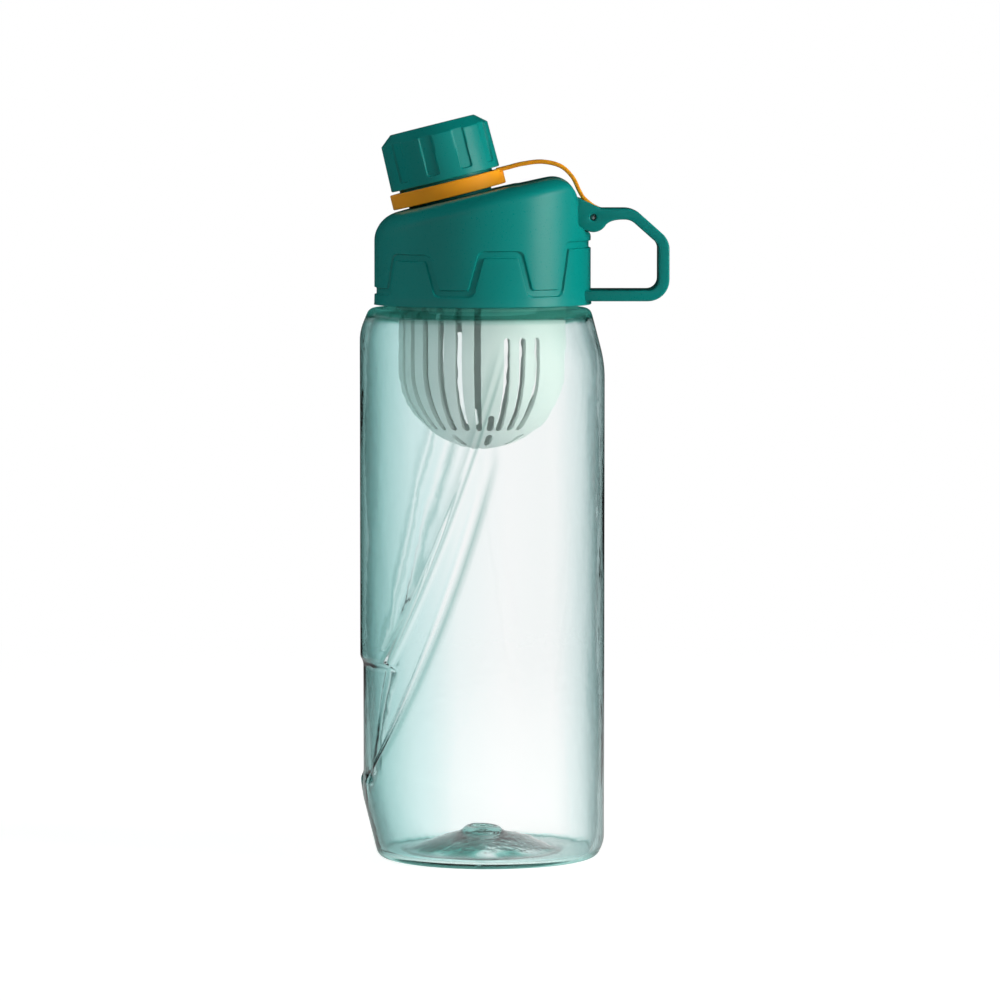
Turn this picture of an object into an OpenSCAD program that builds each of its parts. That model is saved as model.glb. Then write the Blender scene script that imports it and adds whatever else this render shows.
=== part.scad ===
// Fruit infuser water bottle, in millimetres. The bottle stands on z = 0 with its axis on Z.
// The drinking spout leans towards -X and the carrying handle points towards +X.

/* [Bottle] */
// Outer diameter of the bottle's body
body_d = 80; // [78:0.5:82]
// Thickness of the body's wall
body_wall = 2; // [1.6:0.1:2.4]
// Height of the flat shoulder above the table
shoulder_z = 180; // [176:1:190]
// Radius of the flat shoulder at its rim
shoulder_r = 36; // [35:0.1:37]
// Slope of the tapered shoulder, from vertical
shoulder_slope = 18.4; // [16:0.1:22]
// Lean of the tapered shoulder towards the handle
shoulder_lean = 3.8; // [0:0.1:5]
// Radius of the foot at the table
foot_r = 35.6; // [34.5:0.1:36.5]
// Slope of the tapered foot, from vertical
foot_slope = 21; // [18:0.5:25]
// Lean of the tapered foot towards the handle
foot_lean = 7; // [0:0.5:9]
// Radius of the rounded corners at the foot and shoulder
corner_r = 2.6; // [1:0.1:4]
// Radius of the pushed-up dome under the base
punt_r = 24.5; // [18:0.5:28]
// Height of the pushed-up dome
punt_h = 7; // [4:0.5:9]
// Outer diameter of the neck
neck_d = 62.4; // [61.5:0.1:63]
// Diameter of the neck's bore
neck_bore_d = 56.4; // [56:0.1:57.5]
// Height of the neck above the shoulder
neck_h = 17; // [15:0.5:18]

/* [Grip] */
// How far the grip's floor is moved in towards the handle
grip_in_x = 0.9; // [0.4:0.1:1]
// How far the grip's floor is moved in from the front and the rear
grip_in_y = 0.4; // [0.2:0.1:0.6]

/* [Infuser basket] */
// Outer diameter of the basket
basket_d = 54.5; // [54:0.1:55]
// Thickness of the basket's wall
basket_wall = 1.6; // [1.2:0.1:1.8]
// Depth of the basket below the neck's rim
basket_depth = 63; // [55:1:80]
// Width of the flange that rests on the neck's rim
flange_w = 3.4; // [2.6:0.1:3.8]
// Thickness of that flange
flange_t = 2; // [1.2:0.1:2.5]
// Width of a slot
slot_w = 2.2; // [1.6:0.1:2.8]
// Angle between the long slots
long_pitch = 12.9; // [12:0.1:14]
// Number of long slots on each half
long_count = 6; // [3:1:6]
// Angle between the short slots
short_pitch = 11.4; // [9:0.1:12]
// Number of short slots on each half
short_count = 3; // [1:1:3]

/* [Lid] */
// Outer diameter of the lid
lid_d = 70.8; // [70.2:0.1:72]
// Thickness of the lid's wall
lid_wall = 2; // [1.6:0.1:2.2]
// Extra radius of the rim at the lid's lower edge
rim_flare = 0.3; // [0:0.1:0.5]
// Gap between the lid's lower edge and the shoulder
lid_gap = 1.2; // [0.6:0.1:2]
// Slope of the lid's top, rising towards the handle
lid_slope = 13.2; // [11:0.1:14]
// Radius of the rounding round the lid's top
top_round = 10; // [8:0.5:11]
// Radius of the flat top before the rounding starts
top_flat_r = 27.5; // [26:0.1:28]
// Distance of the lid's flat pad under the handle from the axis
pad_x = 31.1; // [30.5:0.1:32]
// Radius of the crown above the pad
crown_r = 8.5; // [7:0.5:9]
// Width of the wave groove round the lid
groove_w = 2.6; // [1.6:0.1:3]
// Depth of the wave groove
groove_depth = 0.5; // [0.2:0.1:0.8]

/* [Spout] */
// Tilt of the spout from vertical, away from the handle
spout_tilt = 14; // [12:0.5:15]
// Where the spout's axis comes through the lid's top, towards the spout side
spout_x = -10.3; // [-11:0.1:-9.5]
// Height above the lid's lower edge at which the spout's axis comes through the lid's top
spout_z = 34; // [33.4:0.1:34.8]
// Bore of the spout
spout_bore_d = 19; // [16:0.5:20]
// Outer diameter of the spout's tube
spout_d = 23.6; // [22.8:0.1:24.4]
// Diameter of the boss at the spout's root
spout_boss_d = 27.6; // [26.6:0.1:28.4]
// Length of the inner skirt that hangs from the lid into the basket
skirt_len = 25; // [18:0.5:28]
// Thickness of the inner skirt
skirt_wall = 1.8; // [1.4:0.1:2.2]

/* [Cap] */
// Diameter of the cap at its lower edge
cap_d = 36.2; // [35.8:0.1:37]
// Height of the cap
cap_h = 18.2; // [17:0.1:20]
// Width of the chamfer round the cap's top
cap_chamfer = 3.8; // [2:0.1:4]
// Height of that chamfer
cap_chamfer_h = 3.2; // [2:0.1:4]
// Thickness of the cap's outer wall
cap_wall = 1.7; // [1.6:0.1:2]
// Number of grip recesses round the cap
grip_count = 10; // [6:1:12]
// Width of a grip recess
recess_w = 4.4; // [3:0.1:5]
// Depth of a grip recess
recess_depth = 0.7; // [0.3:0.1:0.9]
// Thickness of the sealing disc in the cap
seal_t = 1.5; // [1:0.1:2]

/* [Tether] */
// Outer diameter of the tether's ring
ring_d = 37.8; // [37:0.1:39]
// Height of the tether's ring
ring_h = 4.9; // [4:0.1:5.5]
// Gap between the ring and the cap's lower edge
ring_gap = 0.9; // [0.5:0.1:1.2]
// Gap between the ring and the lid's top
ring_lift = 1.1; // [0.8:0.1:1.5]
// Width of the strap
strap_w = 13; // [8:0.5:14]
// Thickness of the strap
strap_t = 1.45; // [1:0.05:1.8]
// Diameter of the pin that holds the strap
pin_d = 1.9; // [1.4:0.1:2.2]

/* [Handle] */
// Width of the handle across the lid
handle_w = 24; // [20:0.5:26]
// Thickness of the handle's bar
handle_t = 3.5; // [3:0.1:4.5]
// Reach of the handle from the bottle's axis
handle_reach = 60.8; // [58:0.1:64]
// Height of the handle's top edge above the lid's lower edge
handle_top = 31.3; // [31:0.1:32]
// Height of the handle's lower edge above the lid's lower edge
handle_bottom = 1.3; // [0.6:0.1:3]
// Angle of the handle's slanted corner, from level
handle_slant = 41.6; // [38:0.1:45]
// Radius of the lug round the pin
lug_r = 4.8; // [4.4:0.1:5.2]

/* [Fits] */
// Radial clearance of a pin or tube in its hole
fit_gap = 0.08; // [0.05:0.01:0.1]
// Clearance between faces of pieces that move past each other
slide_gap = 0.3; // [0.25:0.05:0.45]
// Clearance between seated faces
seat_gap = 0.05; // [0.02:0.01:0.1]

/* [Hidden] */
$fn = 160;
arc_step = 9;
beyond = 60;

body_r = body_d / 2;
neck_r = neck_d / 2;
neck_z = shoulder_z + neck_h;
body_tint = [0.70, 0.84, 0.83, 0.45];
basket_tint = [0.78, 0.87, 0.84];
teal = [0.0, 0.45, 0.43];
orange = [0.85, 0.52, 0.12];

// The flange's top carries the gasket, and the gasket carries the lid's insert.
flange_z = neck_z + seat_gap + flange_t;
gasket_t = 2.1;
insert_z = flange_z + gasket_t + 2 * seat_gap;
insert_flange_t = 2;

lid_z = shoulder_z + lid_gap;
lid_r = lid_d / 2;
rim_r = lid_r + rim_flare;
rim_h = 2.6;

// The spout's root, where its axis comes through the lid's top
root_z = lid_z + spout_z;

// Points along an arc round [cx, cy], from angle a0 to angle a1
function arc(cx, cy, r, a0, a1) = let(n = max(1, ceil(abs(a1 - a0) / arc_step)))
    [for (i = [0:n]) let(a = a0 + (a1 - a0) * i / n) [cx + r * cos(a), cy + r * sin(a)]];

// Points along a curve from p to q that bends towards c
function bend(p, c, q, n) = [for (i = [0:n]) let(t = i / n)
    (1 - t) * (1 - t) * p + 2 * t * (1 - t) * c + t * t * q];

// Unit vector from p to q
function toward(p, q) = (q - p) / norm(q - p);

// Corner b of the path a, b, c, rounded with radius r
function round_corner(a, b, c, r) = let(u = toward(b, a), v = toward(b, c), half = acos(u * v) / 2,
    mid = b + (u + v) / norm(u + v) * r / sin(half), side = u[0] * v[1] - u[1] * v[0] > 0 ? 1 : -1,
    start = atan2(-side * u[0], side * u[1]), turn = side * (180 - 2 * half))
    arc(mid[0], mid[1], r, start, start - turn);

// Path through the points p, each inner corner rounded by the radius in r
function rounded_path(p, r) = concat([p[0]],
    [for (i = [1:len(p) - 2], q = round_corner(p[i - 1], p[i], p[i + 1], r[i - 1])) q],
    [p[len(p) - 1]]);

// Outline of a band of width w along the path p
function band(p, w) = let(n = len(p),
    dir = [for (i = [0:n - 1]) toward(p[max(i - 1, 0)], p[min(i + 1, n - 1)])],
    left = [for (i = [0:n - 1]) p[i] + w / 2 * [-dir[i][1], dir[i][0]]],
    right = [for (i = [n - 1:-1:0]) p[i] - w / 2 * [-dir[i][1], dir[i][0]]])
    concat(left, right);

// Stands an outline drawn in X and Z up, centred on the plane y = 0
module across(w) {
    rotate([90, 0, 0]) linear_extrude(w, center = true) children();
}

// Turns what is drawn at the front round to angle a, counted towards the handle
module facing(a) {
    rotate([0, 0, a]) children();
}

// ---------- Bottle ----------

// The body's solid form, drawn in by inset on every side
module body_form(inset) {
    r = body_r - inset;
    cut = cos(45) * corner_r;
    foot_x = foot_r - corner_r - inset + cut;
    rim_x = shoulder_r - corner_r - inset + cut;
    z0 = inset;
    z1 = shoulder_z - inset;
    rise = corner_r - cut;
    intersection() {
        rotate_extrude() polygon(concat([[0, z0]],
            arc(foot_x - cut, z0 + corner_r, corner_r, -90, -45), [[r, z0 + rise + r - foot_x]],
            [[r, z1 - rise - r + rim_x]], arc(rim_x - cut, z1 - corner_r, corner_r, 45, 90), [[0, z1]]));
        taper(shoulder_z, shoulder_r - inset / cos(shoulder_slope), -shoulder_slope, shoulder_lean);
        taper(0, foot_r - inset / cos(foot_slope), foot_slope, foot_lean);
    }
}

// A leaning cone with radius r at height z, widening upwards by the angle slope
module taper(z, r, slope, lean) {
    up = slope < 0 ? 12 : beyond;
    down = slope < 0 ? beyond : 12;
    translate([0, 0, z]) rotate([0, lean, 0]) translate([0, 0, -down])
        cylinder(h = down + up, r1 = r - down * tan(slope), r2 = r + up * tan(slope));
    if (slope < 0)
        translate([0, 0, -1]) cylinder(h = z - beyond / 2 + 1, r = body_r + 1);
    else
        translate([0, 0, beyond / 2]) cylinder(h = shoulder_z, r = body_r + 1);
}

// The grip's outlines: an upper and a lower crease that sweep down to the spout side
grip_edge = -body_r - 3;
front_upper = bend([7.4, 173.3], [-8.3, 118.2], [-33.1, 64.4], 8);
front_lower = bend([-38.3, 25.8], [-10.7, 78.6], [2.9, 131.4], 8);
rear_upper = bend([-12.5, 165], [-25.2, 114.4], [-36.3, 63.8], 8);
rear_lower = bend([-39, 27], [-26, 91], [-5, 152], 8);
front_grip = concat(front_upper, [[grip_edge, 66]], [[grip_edge, 22]], front_lower);
rear_grip = concat(rear_upper, [[grip_edge, 66]], [[grip_edge, 22]], rear_lower);

// What a grip takes off the body's form: side is -1 at the front and 1 at the rear
module grip_cut(inset, side, outline) {
    difference() {
        translate([0, side * beyond / 2, 0]) across(beyond) polygon(outline);
        translate([grip_in_x, -side * grip_in_y, -1])
            cylinder(h = shoulder_z + 2, r = body_r - inset);
    }
}

module gripped_form(inset) {
    difference() {
        body_form(inset);
        grip_cut(inset, -1, front_grip);
        grip_cut(inset, 1, rear_grip);
    }
}

// Outline of the dome pushed up into the base, raised by lift
function punt(lift) = let(r = (punt_r * punt_r + punt_h * punt_h) / (2 * punt_h), a = asin(punt_r / r))
    concat([[0, -1]], [[punt_r + lift, -1]], [for (i = [0:6]) let(b = a * (1 - i / 6))
        [(r + lift) * sin(b), (r + lift) * cos(b) - r + punt_h]]);

module bottle_body() {
    gate_r = 5.2;
    gate_w = 1;
    gate_h = 0.8;
    color(body_tint) difference() {
        union() {
            gripped_form(0);
            translate([0, 0, shoulder_z - body_wall]) cylinder(h = neck_h + body_wall, r = neck_r);
        }
        difference() {
            gripped_form(body_wall);
            rotate_extrude() polygon(punt(body_wall));
            translate([0, 0, punt_h + body_wall / 2]) difference() {
                cylinder(h = body_wall / 2 + gate_h, r = gate_r);
                translate([0, 0, -1]) cylinder(h = beyond, r = gate_r - gate_w);
            }
        }
        rotate_extrude() polygon(punt(0));
        translate([0, 0, shoulder_z - 2 * body_wall])
            cylinder(h = neck_h + 3 * body_wall, d = neck_bore_d);
    }
}

// ---------- Infuser basket ----------

basket_r = basket_d / 2;
basket_z = neck_z - basket_depth;
dome_z = basket_z + basket_r;
slot_foot = 6.8;
long_top = neck_z - 10;
short_top = neck_z - 26;
stub_top = basket_z + 12;

// The basket's solid form: a straight tube that ends in a half ball
module basket_form(inset) {
    translate([0, 0, dome_z]) sphere(r = basket_r - inset);
    translate([0, 0, dome_z]) cylinder(h = flange_z - dome_z + (inset > 0 ? 1 : 0), r = basket_r - inset);
}

// A slot with round ends, cut through the front of the basket from z0 to z1
module slot(z0, z1) {
    inner = basket_r / 2 - 1;
    translate([-slot_w / 2, -basket_r - 1, z0 + slot_w / 2])
        cube([slot_w, basket_r + 1 - inner, z1 - z0 - slot_w]);
    for (z = [z0 + slot_w / 2, z1 - slot_w / 2])
        translate([0, -inner, z]) rotate([90, 0, 0])
            cylinder(h = basket_r + 1 - inner, d = slot_w, $fn = 24);
}

// Angles of each half's first long slot, first short slot and stub, counted from the front
long_from = -3;
short_from = 17;
stub_at = 8;

// The small slits round the basket's end: the first one's angle, and their two heights above its lowest point
slit_from = 9;
slit_foot = 1.6;
slit_top = 5.4;

module infuser_basket() {
    foot = basket_z + slot_foot;
    color(basket_tint) difference() {
        union() {
            basket_form(0);
            translate([0, 0, flange_z - flange_t]) cylinder(h = flange_t, r = basket_r + flange_w);
        }
        basket_form(basket_wall);
        for (half = [0, 180]) {
            for (i = [0:long_count - 1]) facing(half + long_from - long_pitch * i) slot(foot, long_top);
            for (i = [0:short_count - 1]) facing(half + short_from + short_pitch * i) slot(foot, short_top);
            facing(half + stub_at) slot(foot, stub_top);
        }
        for (a = [slit_from:45:360]) facing(a) slot(basket_z + slit_foot, basket_z + slit_top);
    }
}

// ---------- Lid ----------

// Draws in the frame of the lid's top, where the spout comes through it
module on_top() {
    translate([spout_x, 0, root_z]) rotate([0, -lid_slope, 0]) children();
}

// Draws along the spout's axis, counted from the lid's top
module on_spout() {
    translate([spout_x, 0, root_z]) rotate([0, -spout_tilt, 0]) children();
}

// Height of the lid's top above the point x
function top_z(x) = root_z + (x - spout_x) * tan(lid_slope);

top_x = 9.8;
pad_z = lid_z + 26;

// Side outline of the lid: its sloping top, the crown and the pad below it
function crown_outline(inset) = let(cx = pad_x - crown_r, cz = top_z(cx) - crown_r / cos(lid_slope),
    drop = inset / cos(lid_slope), x = pad_x - inset)
    concat([[-beyond, 0], [-beyond, top_z(-beyond) - drop]],
        arc(cx, cz, crown_r - inset, 90 + lid_slope, 0),
        [[x, pad_z], [x + 6, pad_z - 4]], [[x + 6, 0]]);

// The lid's solid form, drawn in by inset
module lid_form(inset) {
    turn = 90 - lid_slope;
    end = arc(top_flat_r, -top_round, top_round - inset, turn - lid_slope, 0)[0];
    intersection() {
        rotate_extrude() polygon([[0, 0], [rim_r - inset, 0], [rim_r - inset, lid_z],
            [lid_r - inset, lid_z + rim_h], [lid_r - inset, root_z + beyond / 2], [0, root_z + beyond / 2]]);
        on_top() translate([top_x, 0, 0.1]) rotate_extrude() polygon(concat([[0, -beyond], [0, -inset]],
            arc(top_flat_r, -top_round, top_round - inset, 90, lid_slope),
            [[top_flat_r + (top_round - inset) * cos(lid_slope) + beyond * tan(lid_slope),
              -top_round + (top_round - inset) * sin(lid_slope) - beyond]]));
        across(2 * beyond) polygon(crown_outline(inset));
    }
}

// The wave groove: turning points counted from the front, and the heights of its level runs
groove_turns = [-56, -27, -3, 23.3, 48.4];
groove_low = lid_z + 4.5;
groove_highs = [lid_z + 15.8, lid_z + 17, lid_z + 19.7];
groove_slant = 5.5;
groove_reach = 2;
groove_ease = 0.06;
groove_levels = [groove_low, groove_highs[0], groove_low, groove_highs[1], groove_low, groove_highs[2]];

// A level run of the groove between two angles, cut deep
module groove_run(a0, a1, z) {
    rotate_extrude(angle = a1 - a0, start = a0 - 90)
        translate([lid_r - groove_reach, z - groove_w / 2]) square([2 * groove_reach, groove_w]);
}

// A slanted run of the groove round the angle a, from height z0 to height z1, cut deep
module groove_flank(a, z0, z1) {
    u = lid_r * groove_slant / 2 * PI / 180;
    w = groove_w / 2;
    end = (z1 > z0 ? 1 : -1) * (w - groove_ease);
    lean = 2 * u / (abs(z1 - z0) + 2 * w);
    lap = w / 2;
    facing(a) translate([0, groove_reach - lid_r, 0]) rotate([90, 0, 0]) linear_extrude(2 * groove_reach)
        polygon([[-u - lap, z0 - end], [w - u, z0 - end], [u + w - lean * w, z1], [u + lap, z1],
            [u + lap, z1 + end], [u - w, z1 + end], [lean * w - u - w, z0], [-u - lap, z0]]);
}

module wave_groove() {
    last = len(groove_turns) - 1;
    half = groove_slant / 2;
    difference() {
        union() {
            groove_run(-180 - groove_turns[0] + half, groove_turns[0] - half, groove_levels[0]);
            groove_run(groove_turns[last] + half, 180 - groove_turns[last] - half, groove_levels[last + 1]);
            for (flip = [0, 1]) mirror([0, flip, 0]) {
                for (i = [1:last])
                    groove_run(groove_turns[i - 1] + half, groove_turns[i] - half, groove_levels[i]);
                for (i = [0:last])
                    groove_flank(groove_turns[i], groove_levels[i], groove_levels[i + 1]);
            }
        }
        translate([0, 0, lid_z]) cylinder(h = beyond, r = lid_r - groove_depth);
    }
}

// ---------- Handle ----------

pin_x = 36;
pin_z = lid_z + 28.5;
pin_r = pin_d / 2;
handle_hi = lid_z + handle_top;
handle_lo = lid_z + handle_bottom;
slant_start = 49.4;

// Corners of the handle's loop, drawn in by inset
function loop(inset) = let(x1 = slant_start, z2 = handle_hi - (handle_reach - x1) * tan(handle_slant),
    i = inset, x = handle_reach - i)
    [[pad_x + 2, handle_hi - i], [x1 - i * tan(handle_slant / 2), handle_hi - i],
     [x, z2 - i * tan((90 - handle_slant) / 2)], [x, handle_lo + i], [pad_x + 2, handle_lo + i]];

module handle_bar() {
    across(handle_w) difference() {
        polygon(rounded_path(loop(0), [8, 7, 7]));
        polygon(rounded_path(loop(handle_t), [8 - handle_t, 7 - handle_t, 7 - handle_t]));
    }
}

// The lug between the lid's pad and the handle, with the strap's slot and the pin's hole
lug_top = [[pad_x - 1, pad_z + 9], [pad_x + 1.1, pad_z + 8.4], [38.8, handle_hi]];
lug_under = [[44, handle_hi - handle_t / 2], [44, handle_hi - handle_t], [41.6, pin_z - 1.5],
    [39.6, pin_z - 3.2]];

module lug() {
    across(handle_w) {
        translate([pin_x, pin_z]) circle(r = lug_r);
        polygon(concat(lug_top, lug_under, [[pin_x, pin_z - lug_r + 1]],
            [[pad_x, pin_z - lug_r + 1.6], [pad_x - 1, pin_z - lug_r + 1.6]]));
    }
}

module lid_shell() {
    color(teal) difference() {
        union() {
            difference() {
                lid_form(0);
                wave_groove();
            }
            handle_bar();
            lug();
        }
        lid_form(lid_wall);
        translate([0, 0, -1]) cylinder(h = lid_z + 1, r = lid_r + 3);
        on_spout() translate([0, 0, -8]) cylinder(h = 16, d = spout_boss_d + 2 * fit_gap);
        strap_slot();
        translate([pin_x, 0, pin_z]) rotate([90, 0, 0])
            cylinder(h = handle_w + 2, r = pin_r + fit_gap, center = true);
    }
}

// ---------- Lid insert ----------

skirt_r = basket_r - basket_wall - slide_gap;
thread_room = 1.3;
core_roof = 1.5;
spout_top = ring_lift + ring_h + ring_gap + cap_h - cap_wall - core_roof - 3 * seat_gap - seal_t;

// A round post of radius r that stands on the insert's flange and ends depth inside the lid's form
module post_under_lid(r, depth) {
    intersection() {
        translate([0, 0, insert_z]) cylinder(h = 2 * skirt_len, r = r);
        lid_form(depth);
    }
}

module lid_insert() {
    roof = lid_wall + 2 * slide_gap;
    flange_r = lid_r - lid_wall - 1;
    color(teal) difference() {
        union() {
            translate([0, 0, insert_z]) cylinder(h = insert_flange_t, r = flange_r);
            translate([0, 0, insert_z - skirt_len]) cylinder(h = skirt_len + 1, r = skirt_r);
            for (z = [1.4, 3.6]) translate([0, 0, insert_z - skirt_len + z])
                rotate_extrude() translate([skirt_r - 0.5, 0]) polygon([[0, -1], [0.65, -0.3], [0.65, 0.3], [0, 1]]);
            post_under_lid(skirt_r, roof);
            on_spout() translate([0, 0, -3.5]) cylinder(h = 3.5 + ring_lift, d = spout_boss_d);
            on_spout() translate([0, 0, -3.5]) cylinder(h = 3.5 + spout_top, d = spout_d);
        }
        translate([0, 0, insert_z - skirt_len - 1]) cylinder(h = skirt_len + 2, r = skirt_r - skirt_wall);
        post_under_lid(skirt_r - skirt_wall, roof + skirt_wall);
        on_spout() translate([0, 0, -9]) cylinder(h = 10 + spout_top, d = spout_bore_d);
    }
}

module lid_gasket() {
    color([0.86, 0.88, 0.87]) translate([0, 0, flange_z + seat_gap]) difference() {
        cylinder(h = gasket_t, r = neck_r);
        translate([0, 0, -1]) cylinder(h = gasket_t + 2, r = skirt_r + slide_gap);
    }
}

// ---------- Tether ----------

ring_r = ring_d / 2;
collar_r = 15.5;
catch_r = 16.6;
catch_t = 1.2;
ring_z = ring_lift;
knuckle_r = 2.6;
web_w = 2;

// The strap's path in X and Z: where it leaves the ring and its crown are counted from the spout's root, and
// its bend, its drop into the lug and its foot from the pin
spout_root = [spout_x, root_z];
pin_at = [pin_x, pin_z];
tab_from = [15.1, 9.75];
strap_from = [18.5, 10.6];
strap_crown = [27.3, 13];
strap_bend = [-9, 16.5];
strap_drop = [-4, 6.5];
strap_foot = [2.4, 3.1];
strap_start = spout_root + strap_from;
strap_path = rounded_path([strap_start, spout_root + strap_crown, pin_at + strap_bend, pin_at + strap_drop,
    pin_at + strap_foot], [12, 7, 1.6]);

// Corners of the web over the strap's eye, and of the room round it, counted from the pin
web_top = [3.8, 5];
room_top = 9.5;
room_right = [3.2, 1.5];
room_left = [-2.4, 4.4];
room_step = [0.4, 5.7];

// Outline of the strap's end, grown by grow: an eye round the pin and the web that carries it
module strap_end(grow) {
    w = web_w + grow;
    translate([pin_x, pin_z]) circle(r = knuckle_r + grow, $fn = 48);
    polygon([[pin_x - w, pin_z], [pin_x + w, pin_z], [pin_x + w, pin_z + web_top[0]],
        [pin_x - w, pin_z + web_top[1]]]);
}

// The room that the lug leaves for the strap, between its two cheeks
module strap_slot() {
    top = pin_z + room_top;
    left = pad_x + room_step[0];
    right = pin_at + room_right;
    across(strap_w + 2 * slide_gap) {
        strap_end(slide_gap);
        polygon([[left, top], [left, pin_z + room_step[1]], pin_at + room_left, right, [right[0], top]]);
    }
}

module tether_strap() {
    color(orange) difference() {
        union() {
            across(strap_w) polygon(band(strap_path, strap_t));
            across(strap_w) strap_end(0);
        }
        translate([pin_x, 0, pin_z]) rotate([90, 0, 0])
            cylinder(h = strap_w + 2, r = pin_r + fit_gap, center = true);
    }
}

module tether_pin() {
    color([0.75, 0.77, 0.78]) translate([pin_x, 0, pin_z]) rotate([90, 0, 0])
        cylinder(h = handle_w - 1.2, r = pin_r, center = true, $fn = 48);
}

module tether_ring() {
    tab = [spout_root + tab_from, strap_start - [0.1, 0.03]];
    color(orange) {
        difference() {
            union() {
                on_spout() translate([0, 0, ring_z]) cylinder(h = ring_h, r = ring_r);
                across(strap_w) polygon(band(tab, strap_t));
            }
            on_spout() translate([0, 0, ring_z - 1])
                cylinder(h = ring_h + 6, r = collar_r + slide_gap);
            on_spout() translate([0, 0, ring_z - 1])
                cylinder(h = 1 + catch_t + 2 * slide_gap, r = catch_r + slide_gap);
        }
    }
}

// ---------- Cap ----------

cap_z = ring_lift + ring_h + ring_gap;
cap_r = cap_d / 2;
cap_taper = 0.3;
recess_foot = 2.1;

// The cap's solid form with its chamfered top, drawn in by inset, from height low
module cap_form(inset, low) {
    edge = cap_r - cap_taper;
    long = norm([cap_chamfer, cap_chamfer_h]);
    chamfer = edge * cap_chamfer_h + (cap_h - cap_chamfer_h) * cap_chamfer - inset * long;
    x = edge - inset;
    z = cap_h - inset;
    rotate_extrude() polygon([[0, low], [cap_r - inset, low],
        [x, (chamfer - x * cap_chamfer_h) / cap_chamfer], [(chamfer - z * cap_chamfer) / cap_chamfer_h, z], [0, z]]);
}

module cap_shell() {
    color(teal) on_spout() translate([0, 0, cap_z]) difference() {
        cap_form(0, 0);
        cap_form(cap_wall, -1);
        for (i = [0:grip_count - 1]) facing(-10 + 360 / grip_count * i)
            translate([-recess_w / 2, -cap_r - 1, recess_foot])
                cube([recess_w, recess_depth + 1, cap_h]);
    }
}

module cap_core() {
    low = ring_z + slide_gap;
    roof = cap_z + cap_h - cap_wall - seat_gap - core_roof;
    color(teal) on_spout() difference() {
        union() {
            translate([0, 0, low]) cylinder(h = catch_t, r = catch_r);
            translate([0, 0, low]) cylinder(h = cap_z - low + 1, r = collar_r);
            translate([0, 0, cap_z]) cap_form(cap_wall + seat_gap, 0);
        }
        translate([0, 0, low - 1]) cylinder(h = roof - low + 1, r = spout_d / 2 + thread_room);
    }
}

module cap_seal() {
    color([0.86, 0.88, 0.87]) on_spout() translate([0, 0, spout_top + seat_gap])
        cylinder(h = seal_t, r = spout_d / 2 + thread_room - slide_gap);
}

bottle_body();
infuser_basket();
lid_gasket();
lid_shell();
lid_insert();
tether_pin();
tether_strap();
tether_ring();
cap_shell();
cap_core();
cap_seal();
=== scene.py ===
import math
import bmesh
import bpy
import numpy as np
from mathutils import Matrix, Vector


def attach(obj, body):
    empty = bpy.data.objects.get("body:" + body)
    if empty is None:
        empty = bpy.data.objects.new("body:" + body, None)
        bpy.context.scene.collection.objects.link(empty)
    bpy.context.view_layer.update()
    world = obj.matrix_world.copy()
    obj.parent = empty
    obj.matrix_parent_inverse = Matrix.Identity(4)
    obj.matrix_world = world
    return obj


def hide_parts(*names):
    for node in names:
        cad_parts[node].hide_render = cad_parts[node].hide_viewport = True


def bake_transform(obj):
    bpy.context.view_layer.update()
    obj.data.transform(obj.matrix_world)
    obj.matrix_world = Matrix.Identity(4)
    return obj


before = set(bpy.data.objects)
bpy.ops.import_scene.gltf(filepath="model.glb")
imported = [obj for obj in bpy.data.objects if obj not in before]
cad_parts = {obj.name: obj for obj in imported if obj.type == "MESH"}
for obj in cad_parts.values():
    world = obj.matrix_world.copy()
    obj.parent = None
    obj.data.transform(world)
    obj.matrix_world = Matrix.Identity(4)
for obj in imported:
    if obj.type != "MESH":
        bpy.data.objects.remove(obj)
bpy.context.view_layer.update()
MM = 0.001


# ---------- Studio ----------
# A white table that runs back to a white wall, and one soft lamp far round to the right, dim
# towards its edges and weaker in gloss than on dull pieces. The camera stands 1.77 m from the bottle's
# side, a little higher than the cap, and looks down by 4 degrees.

def linear(hex_colour):
    """An sRGB hex value, such as "0A7F78", as the linear colour with alpha that Blender takes."""
    parts = [int(hex_colour[i:i + 2], 16) / 255 for i in (0, 2, 4)]
    return tuple(p / 12.92 if p <= 0.04045 else ((p + 0.055) / 1.055) ** 2.4 for p in parts) + (1,)


def add(tree, kind, settings, inputs):
    """A new node with its settings. An input's value is a number, a hex colour, the socket that feeds it, or a
    node, whose first output in use feeds it."""
    made = tree.nodes.new(kind)
    for name, value in settings.items():
        setattr(made, name, value)
    for key, value in inputs.items():
        if isinstance(value, bpy.types.Node):
            value = next(socket for socket in value.outputs if socket.enabled)
        if isinstance(value, bpy.types.NodeSocket):
            tree.links.new(value, made.inputs[key])
        else:
            made.inputs[key].default_value = linear(value) if isinstance(value, str) else value
    return made


# settings that many nodes share
SMOOTH, COLOURS = {"interpolation_type": "SMOOTHSTEP"}, {"data_type": "RGBA"}
TIMES, TIMES_PLUS = {"operation": "MULTIPLY"}, {"operation": "MULTIPLY_ADD"}


def new_material(name):
    """A material, its tree, and the piece's own coordinates as the first thing in that tree."""
    made = bpy.data.materials.new(name)
    made.use_nodes = True
    made.node_tree.nodes.clear()
    return made, made.node_tree, add(made.node_tree, "ShaderNodeTexCoord", {}, {}).outputs["Object"]


def placed(name, data):
    """A new object in the scene."""
    made = bpy.data.objects.new(name, data)
    bpy.context.scene.collection.objects.link(made)
    return made


def aimed(data, place, target):
    """An object with that data at place, looking at target."""
    made = placed(data.name, data)
    made.location = place
    made.rotation_mode = "QUATERNION"
    made.rotation_quaternion = (Vector(target) - Vector(place)).to_track_quat("-Z", "Y")
    return made


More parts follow.
